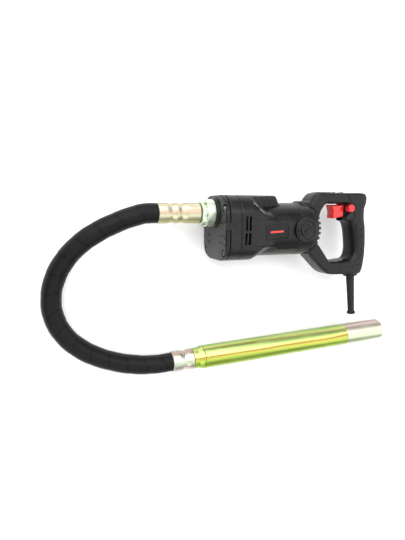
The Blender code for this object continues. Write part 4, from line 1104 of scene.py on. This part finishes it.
    def controls(self) -> None:
        """The red trigger, with its hollowed front, and the domed lock button."""
        front = [(200, 36.7), (202.2, 31), (203.6, 26), (203.4, 20), (203.8, 16.3), (205.5, 15.3),
                 (222, 18.3), (222, 36.7)]
        dress(prism("trigger_skin", MOTOR, front, -9, 9, 1.8, 1.2), RED, Body.TRIGGER, "trigger")
        button = turned("lock_button_skin", BUTTON, [
            (12.2, 0), (12.2, 6), (19.4, 6), (20.6, 5.0), (21.0, 3.4), (20.7, 1.6), (20.6, 0)],
            0.5, 64)
        dress(button, RED, Body.BUTTON, "lock_button")

    def build(self) -> None:
        """Make every piece of the handle."""
        self.shells()
        self.shell_screws()
        self.controls()


@dataclass
class GripPad:
    """The soft strip along the back of the grip, with cross ribs."""

    rear: list = field(default_factory=lambda: [(259.8, 28), (261.5, 15), (263.5, 0),
                                                (264.5, -20), (263.5, -38), (261.5, -54)])
    depth: float = 3.5
    half: float = 9.0

    def outline(self, extra: float) -> list:
        """The pad's side view.

        Args:
            extra: how much larger it is than the pad.
        Returns:
            Its corners.
        """
        outer = [(x + extra, y) for x, y in self.rear]
        inner = [(x - self.depth - extra, y) for x, y in self.rear]
        for line in (outer, inner):
            line[0] = (line[0][0], line[0][1] + extra)
            line[-1] = (line[-1][0], line[-1][1] - extra)
        return outer + inner[::-1]

    def build(self) -> None:
        """A loft down the grip; each section is flat inside and crowned outside, with ribs.

        The outer face stands depth - 0.6 u^4 out of the inner one, less 0.5 where
        cos(2 pi s / 4) is below zero.
        """
        line, s = measured(flowing(np.array(self.rear, float), 12), 0.8)
        u = np.linspace(-1, 1, 17)
        rib = 0.5 * np.clip(2.5 * np.cos(2 * math.pi * s / 4) + 0.5, 0, 1)
        edge = np.clip(np.minimum(s, s[-1] - s) / 4, 0, 1)
        out = (self.depth - 0.6 + (rib * edge)[:, None] - 0.6 * u ** 4)
        over = np.stack([line[:, :1] - self.depth + out, line[:, 1:] + 0 * u,
                         self.half * u + 0 * out], -1)
        under = np.stack([line[:, :1] - self.depth + 0 * u, line[:, 1:] + 0 * u,
                          self.half * u + 0 * out], -1)[:, ::-1]
        piece = surface("grip_pad_skin", MOTOR.place(np.concatenate([over, under], 1)))
        dress(piece, RUBBER, Body.MOTOR, "grip_pad")


@dataclass
class CableBoot:
    """The cable's bend relief: a long taper with shallow flexing rings and a flared mouth."""

    length: float = 68.0
    rings: int = 7

    def build(self) -> None:
        """Turned profile: radius falls from 6.6 to 5.1, with a ring groove every 5 mm at first."""
        a = np.linspace(4, self.length - 5, 120)
        groove = 0.45 * np.clip(np.cos((a - 8) * 2 * math.pi / 5) * 2 - 1, 0, 1)
        groove *= (a > 8) & (a < 8 + 5 * self.rings)
        outer = np.c_[a, 6.6 - 1.5 * (a - 4) / (self.length - 9) - groove]
        profile = np.concatenate([[(-8.4, 3.4), (-8.4, 9), (-4, 9), (-4, 6.6)], outer,
                                  [(self.length - 3, 6.8), (self.length - 1, 6.8),
                                   (self.length, 6.2), (self.length, 3.4)]])
        dress(turned("cable_boot_skin", BOOT, profile, 0, 56, True), RUBBER, Body.MOTOR,
              "cable_boot")


# ------------------------------------------------------------------ hose and poker
@dataclass
class Hose:
    """The wound rubber hose, its steel liner and the flexible core, which follow one centre line.
    """

    route: Array = field(default_factory=lambda: np.array([
        (-76.3, 24, 45), (-84.3, 24, 45), (-96, 22.8, 45), (-109.5, 19.3, 44.7),
        (-124, 14.2, 43.9), (-139.5, 7.6, 42.4), (-155, -0.4, 39.8), (-170.7, -10.6, 36.2),
        (-185.6, -23.6, 31.8), (-198.8, -39.6, 26.8), (-209.6, -59, 21.8), (-216.2, -81.5, 17.6),
        (-217, -105.5, 15), (-210.8, -128.6, 14.2), (-198.2, -149.2, 14.2),
        (-180.4, -166, 14.2), (-160.2, -178.8, 14.2), (-139, -188, 14.4), (-117, -194.6, 15.2),
        (-95, -198.4, 16.4), (-75, -199.7, 17.3), (-58.09, -199.18, 17.5),
        (-50.1, -198.81, 17.5)], float) - (23.0, 0.0, 0.0))
    radius: float = 14.0
    bore: float = 8.8
    lap_pitch: float = 28.0
    lap_height: float = 0.32
    bend: tuple = (Body.MOTOR, Body.HEAD, (-0.118, 0.02, 0.03), (-0.118, -0.19, 0.03))

    def path(self, spacing: float) -> tuple[Array, Array]:
        """The centre line through the route, at equal steps, and the distance along it."""
        middle = flowing(self.route[1:-1], 10)
        return measured(np.concatenate([self.route[:1], middle, self.route[-1:]]), spacing)

    def cover(self) -> Thing:
        """Tape wound in a helix: r = R - h + h f, f the rising share of each lap, dropping fast.

        Returns:
            The cover, with f as its lap attribute.
        """
        line, s = self.path(1.1)
        angle = np.linspace(0, 1, 56, endpoint=False)
        phase = (s[:, None] / self.lap_pitch + angle) % 1.0
        lap = np.clip(phase / 0.5, 0, 1) * np.clip((1 - phase) / 0.05, 0, 1)
        ripple = 0.10 * np.sin(2 * math.pi * (s[:, None] / 71 + 2 * angle))
        radius = self.radius - self.lap_height + self.lap_height * lap - 0.1 + ripple
        piece = sweep("hose_cover_skin", line, radius, np.full_like(radius, self.bore))
        co = np.zeros(len(piece.data.vertices) * 3, np.float32)
        piece.data.vertices.foreach_get("co", co)
        # The lap share also sets the painted shade that the tape material puts into each lap step.
        marks = piece.data.attributes.new("lap", "FLOAT", "POINT")
        values = np.concatenate([lap.ravel(), np.zeros(len(co) // 3 - lap.size)])
        marks.data.foreach_set("value", values.astype(np.float32))
        return piece

    def build(self) -> None:
        """Cover, liner and core."""
        cover = dress(self.cover(), TAPE, self.bend, "hose_cover")
        line, s = self.path(0.9)
        angle = np.linspace(0, 1, 28, endpoint=False)
        coil = np.abs(np.sin(math.pi * (s[:, None] / 5.0 + angle)))
        liner = sweep("hose_liner_skin", line, 7.4 + 0.6 * coil, np.full(coil.shape, 6.4))
        dress(liner, DARK_STEEL, self.bend, "hose_liner")
        head_way = np.array([math.cos(TURN), math.sin(TURN), 0.0])
        long = np.concatenate([line[:1] + (16.0, 0, 0), line, line[-1:] + 14.5 * head_way])
        line, s = measured(long, 1.2)
        angle = np.linspace(0, 2 * math.pi, 30, endpoint=False)
        strand = np.abs(np.sin(3 * (angle + s[:, None] * 2 * math.pi / 34)))
        core = sweep("flex_core_skin", line, 4.55 + 0.45 * strand)
        dress(core, STEEL, self.bend, "flex_core")


@dataclass
class Ferrules:
    """The two crimped sleeves that hold the hose."""

    motor_r: float = 14.3
    head_r: float = 15.8
    bore: float = 10.3

    def sleeve(self, low: float, high: float, radius: float, waists: tuple, depth: float) -> Array:
        """Closed profile: R less depth * exp(-((a - waist) / 4.2)^2) at each waist, rolled ends.

        Args:
            low: where it starts.
            high: where it ends.
            radius: R, its outer radius.
            waists: where it is crimped.
            depth: how deep the crimps are.
        Returns:
            The profile's (along, radius) pairs.
        """
        a = np.linspace(low + 0.9, high - 0.9, 160)
        outer = np.full_like(a, radius)
        for waist in waists:
            outer -= depth * np.exp(-((a - waist) / 4.2) ** 2)
        ends = [(low, self.bore), (low, radius - 1.1)], [(high, radius - 1.1), (high, self.bore)]
        return np.concatenate([ends[0], np.c_[a, outer], ends[1]])

    def build(self) -> None:
        """The long sleeve at the motor, with two waists, and the short one at the poker."""
        dress(turned("motor_ferrule_skin", OUTPUT, self.sleeve(
            -76, -15.4, self.motor_r, (-42.5, -56.5), 1.7), 0, 96, True), GOLD, Body.MOTOR,
            "motor_ferrule")
        dress(turned("head_ferrule_skin", HEAD, self.sleeve(
            0, 33, self.head_r, (19.5,), 2.2), 0, 96, True), SILVER, Body.HEAD, "head_ferrule")


@dataclass
class Poker:
    """Adapter, tube and tip of the vibrating head."""

    radius: float = 17.5
    neck: float = 15.2
    tip_start: float = 307.0
    end: float = 382.0

    def build(self) -> None:
        """The neck swells to the tube; the tube runs to the tip, whose end is chamfered."""
        dress(turned("head_adapter_skin", HEAD, [
            (62.3, 14.7), (50, 14.7), (50, self.radius), (47, 17.3), (41, self.neck),
            (33.3, self.neck), (33.3, 10), (2, 10), (2, 7.3), (62.3, 7.3)], 0.8, 96, True),
            GREEN, Body.HEAD, "head_adapter")
        dress(turned("head_tube_skin", HEAD, [
            (50.3, 15), (50.3, self.radius), (self.tip_start - 0.3, self.radius),
            (self.tip_start - 0.3, 15)], 0.3, 96, True), GREEN, Body.HEAD, "head_tube")
        dress(turned("head_tip_skin", HEAD, [
            (self.tip_start - 12, 0), (self.tip_start - 12, 14.7), (self.tip_start, 14.7),
            (self.tip_start, self.radius), (self.end - 2.6, self.radius), (self.end, 15.2),
            (self.end, 0)], 0.7, 96), TIP, Body.HEAD, "head_tip")


INNER = {
    STEEL: ("nose_spigot", "pinion", "output_gear", "spindle_bearing_front",
            "spindle_bearing_rear", "motor_bearing_front", "motor_bearing_rear",
            "armature_shaft", "brush_spring_near", "brush_spring_far", "hose_fitting",
            "core_drive_end", "core_head_end", "head_bearing_rear", "head_bearing_front"),
    DARK_STEEL: ("output_spindle", "eccentric_rotor"),
    LAMINATIONS: ("armature_core", "stator_core"),
    COPPER: ("armature_winding_front", "armature_winding_rear", "commutator",
             "field_coil_front", "field_coil_rear"),
    BRASS: ("brush_holder_near", "brush_holder_far"),
    CARBON: ("carbon_brush_near", "carbon_brush_far"),
    NYLON: ("cooling_fan", "air_baffle", "switch_body", "cable_clamp"),
    RUBBER: ("head_seal",),
}


def finish_inner() -> None:
    """Give the solids that stay as they are their own finishes."""
    for finish, names in INNER.items():
        for name in names:
            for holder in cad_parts[name].material_slots:
                holder.material = finish.build()


# ------------------------------------------------------------------ studio
@dataclass
class Studio:
    """A pale floor, a soft light room and the camera."""

    lens: float = 29.33
    sensor: float = 36.0
    place: tuple = (-0.2424, 0.0253, 0.637)
    floor_half: float = 40.0
    floor_height: float = -0.0008
    floor_points: int = 33
    glow: float = 0.42

    def floor(self) -> None:
        """A wide sheet just under height zero, its steps growing outwards as the cube of u."""
        span = self.floor_half * np.linspace(-1, 1, self.floor_points) ** 3
        x, y = np.meshgrid(span, span, indexing="ij")
        z = np.full_like(x, self.floor_height)
        mesh = bpy.data.meshes.new("studio_floor")
        index = np.arange(self.floor_points ** 2).reshape(2 * (self.floor_points,))
        quads = np.stack([index[:-1, :-1], index[1:, :-1], index[1:, 1:], index[:-1, 1:]], -1)
        mesh.from_pydata(np.stack([x, y, z], -1).reshape(-1, 3), [],
                         quads.reshape(-1, 4).tolist())
        mesh.shade_smooth()
        made = bpy.data.objects.new("studio_floor", mesh)
        bpy.context.scene.collection.objects.link(made)
        mesh.materials.append(Finish("", (0.88, 0.88, 0.88), (0.92, 0.92, 0.92), 0.8,
                                     grain=60.0, name="pale_floor").build())

    def lamp(self, name: str, place: tuple, size: float, watts: float) -> None:
        """A square soft light that faces the tool.

        Args:
            name: its name.
            place: where it hangs, in metres.
            size: its side, in metres.
            watts: its power.
        """
        light = bpy.data.lights.new(name, "AREA")
        light.size, light.energy = size, watts
        made = bpy.data.objects.new(name, light)
        bpy.context.scene.collection.objects.link(made)
        made.location = place
        made.rotation_euler = (Vector((0.0, -0.08, 0.03)) - Vector(place)).to_track_quat(
            "-Z", "Y").to_euler()

    def build(self) -> None:
        """Floor, lights, the room's glow and the camera."""
        self.floor()
        self.lamp("key_light", (-0.7, 1.7, 2.1), 4.0, 150)
        self.lamp("fill_light", (2.0, -0.3, 2.2), 4.0, 80)
        self.lamp("low_light", (-0.9, -1.9, 1.9), 2.6, 36)
        world = bpy.data.worlds.new("studio_room")
        bpy.context.scene.world = world
        world.use_nodes = True
        world.node_tree.nodes["Background"].inputs[0].default_value = (1.0, 1.0, 1.0, 1.0)
        world.node_tree.nodes["Background"].inputs[1].default_value = self.glow
        camera = bpy.data.cameras.new("studio_camera")
        camera.lens, camera.sensor_width, camera.clip_start = self.lens, self.sensor, 0.01
        made = bpy.data.objects.new("studio_camera", camera)
        bpy.context.scene.collection.objects.link(made)
        right, up, way = (0.9426, 0.0, 0.3338), (0.0436, 0.9914, -0.1230), (0.3309, -0.1305,
                                                                           -0.9345)
        made.matrix_world = Matrix.Translation(self.place) @ Matrix(
            (right, up, tuple(-v for v in way))).transposed().to_4x4()
        bpy.context.scene.camera = made
        bpy.context.scene.view_settings.view_transform = "Standard"


def main() -> None:
    """Build the studio, then each sub-assembly in order."""
    logging.basicConfig(level=logging.INFO, format="%(message)s")
    Studio().build()
    for part in (Hose(), Ferrules(), Poker(), GearHead(), Housing(), BrushCaps(), Handle(),
                 GripPad(), CableBoot()):
        part.build()
        LOG.info("%s done", type(part).__name__)
    finish_inner()


if __name__ == "__main__":
    main()
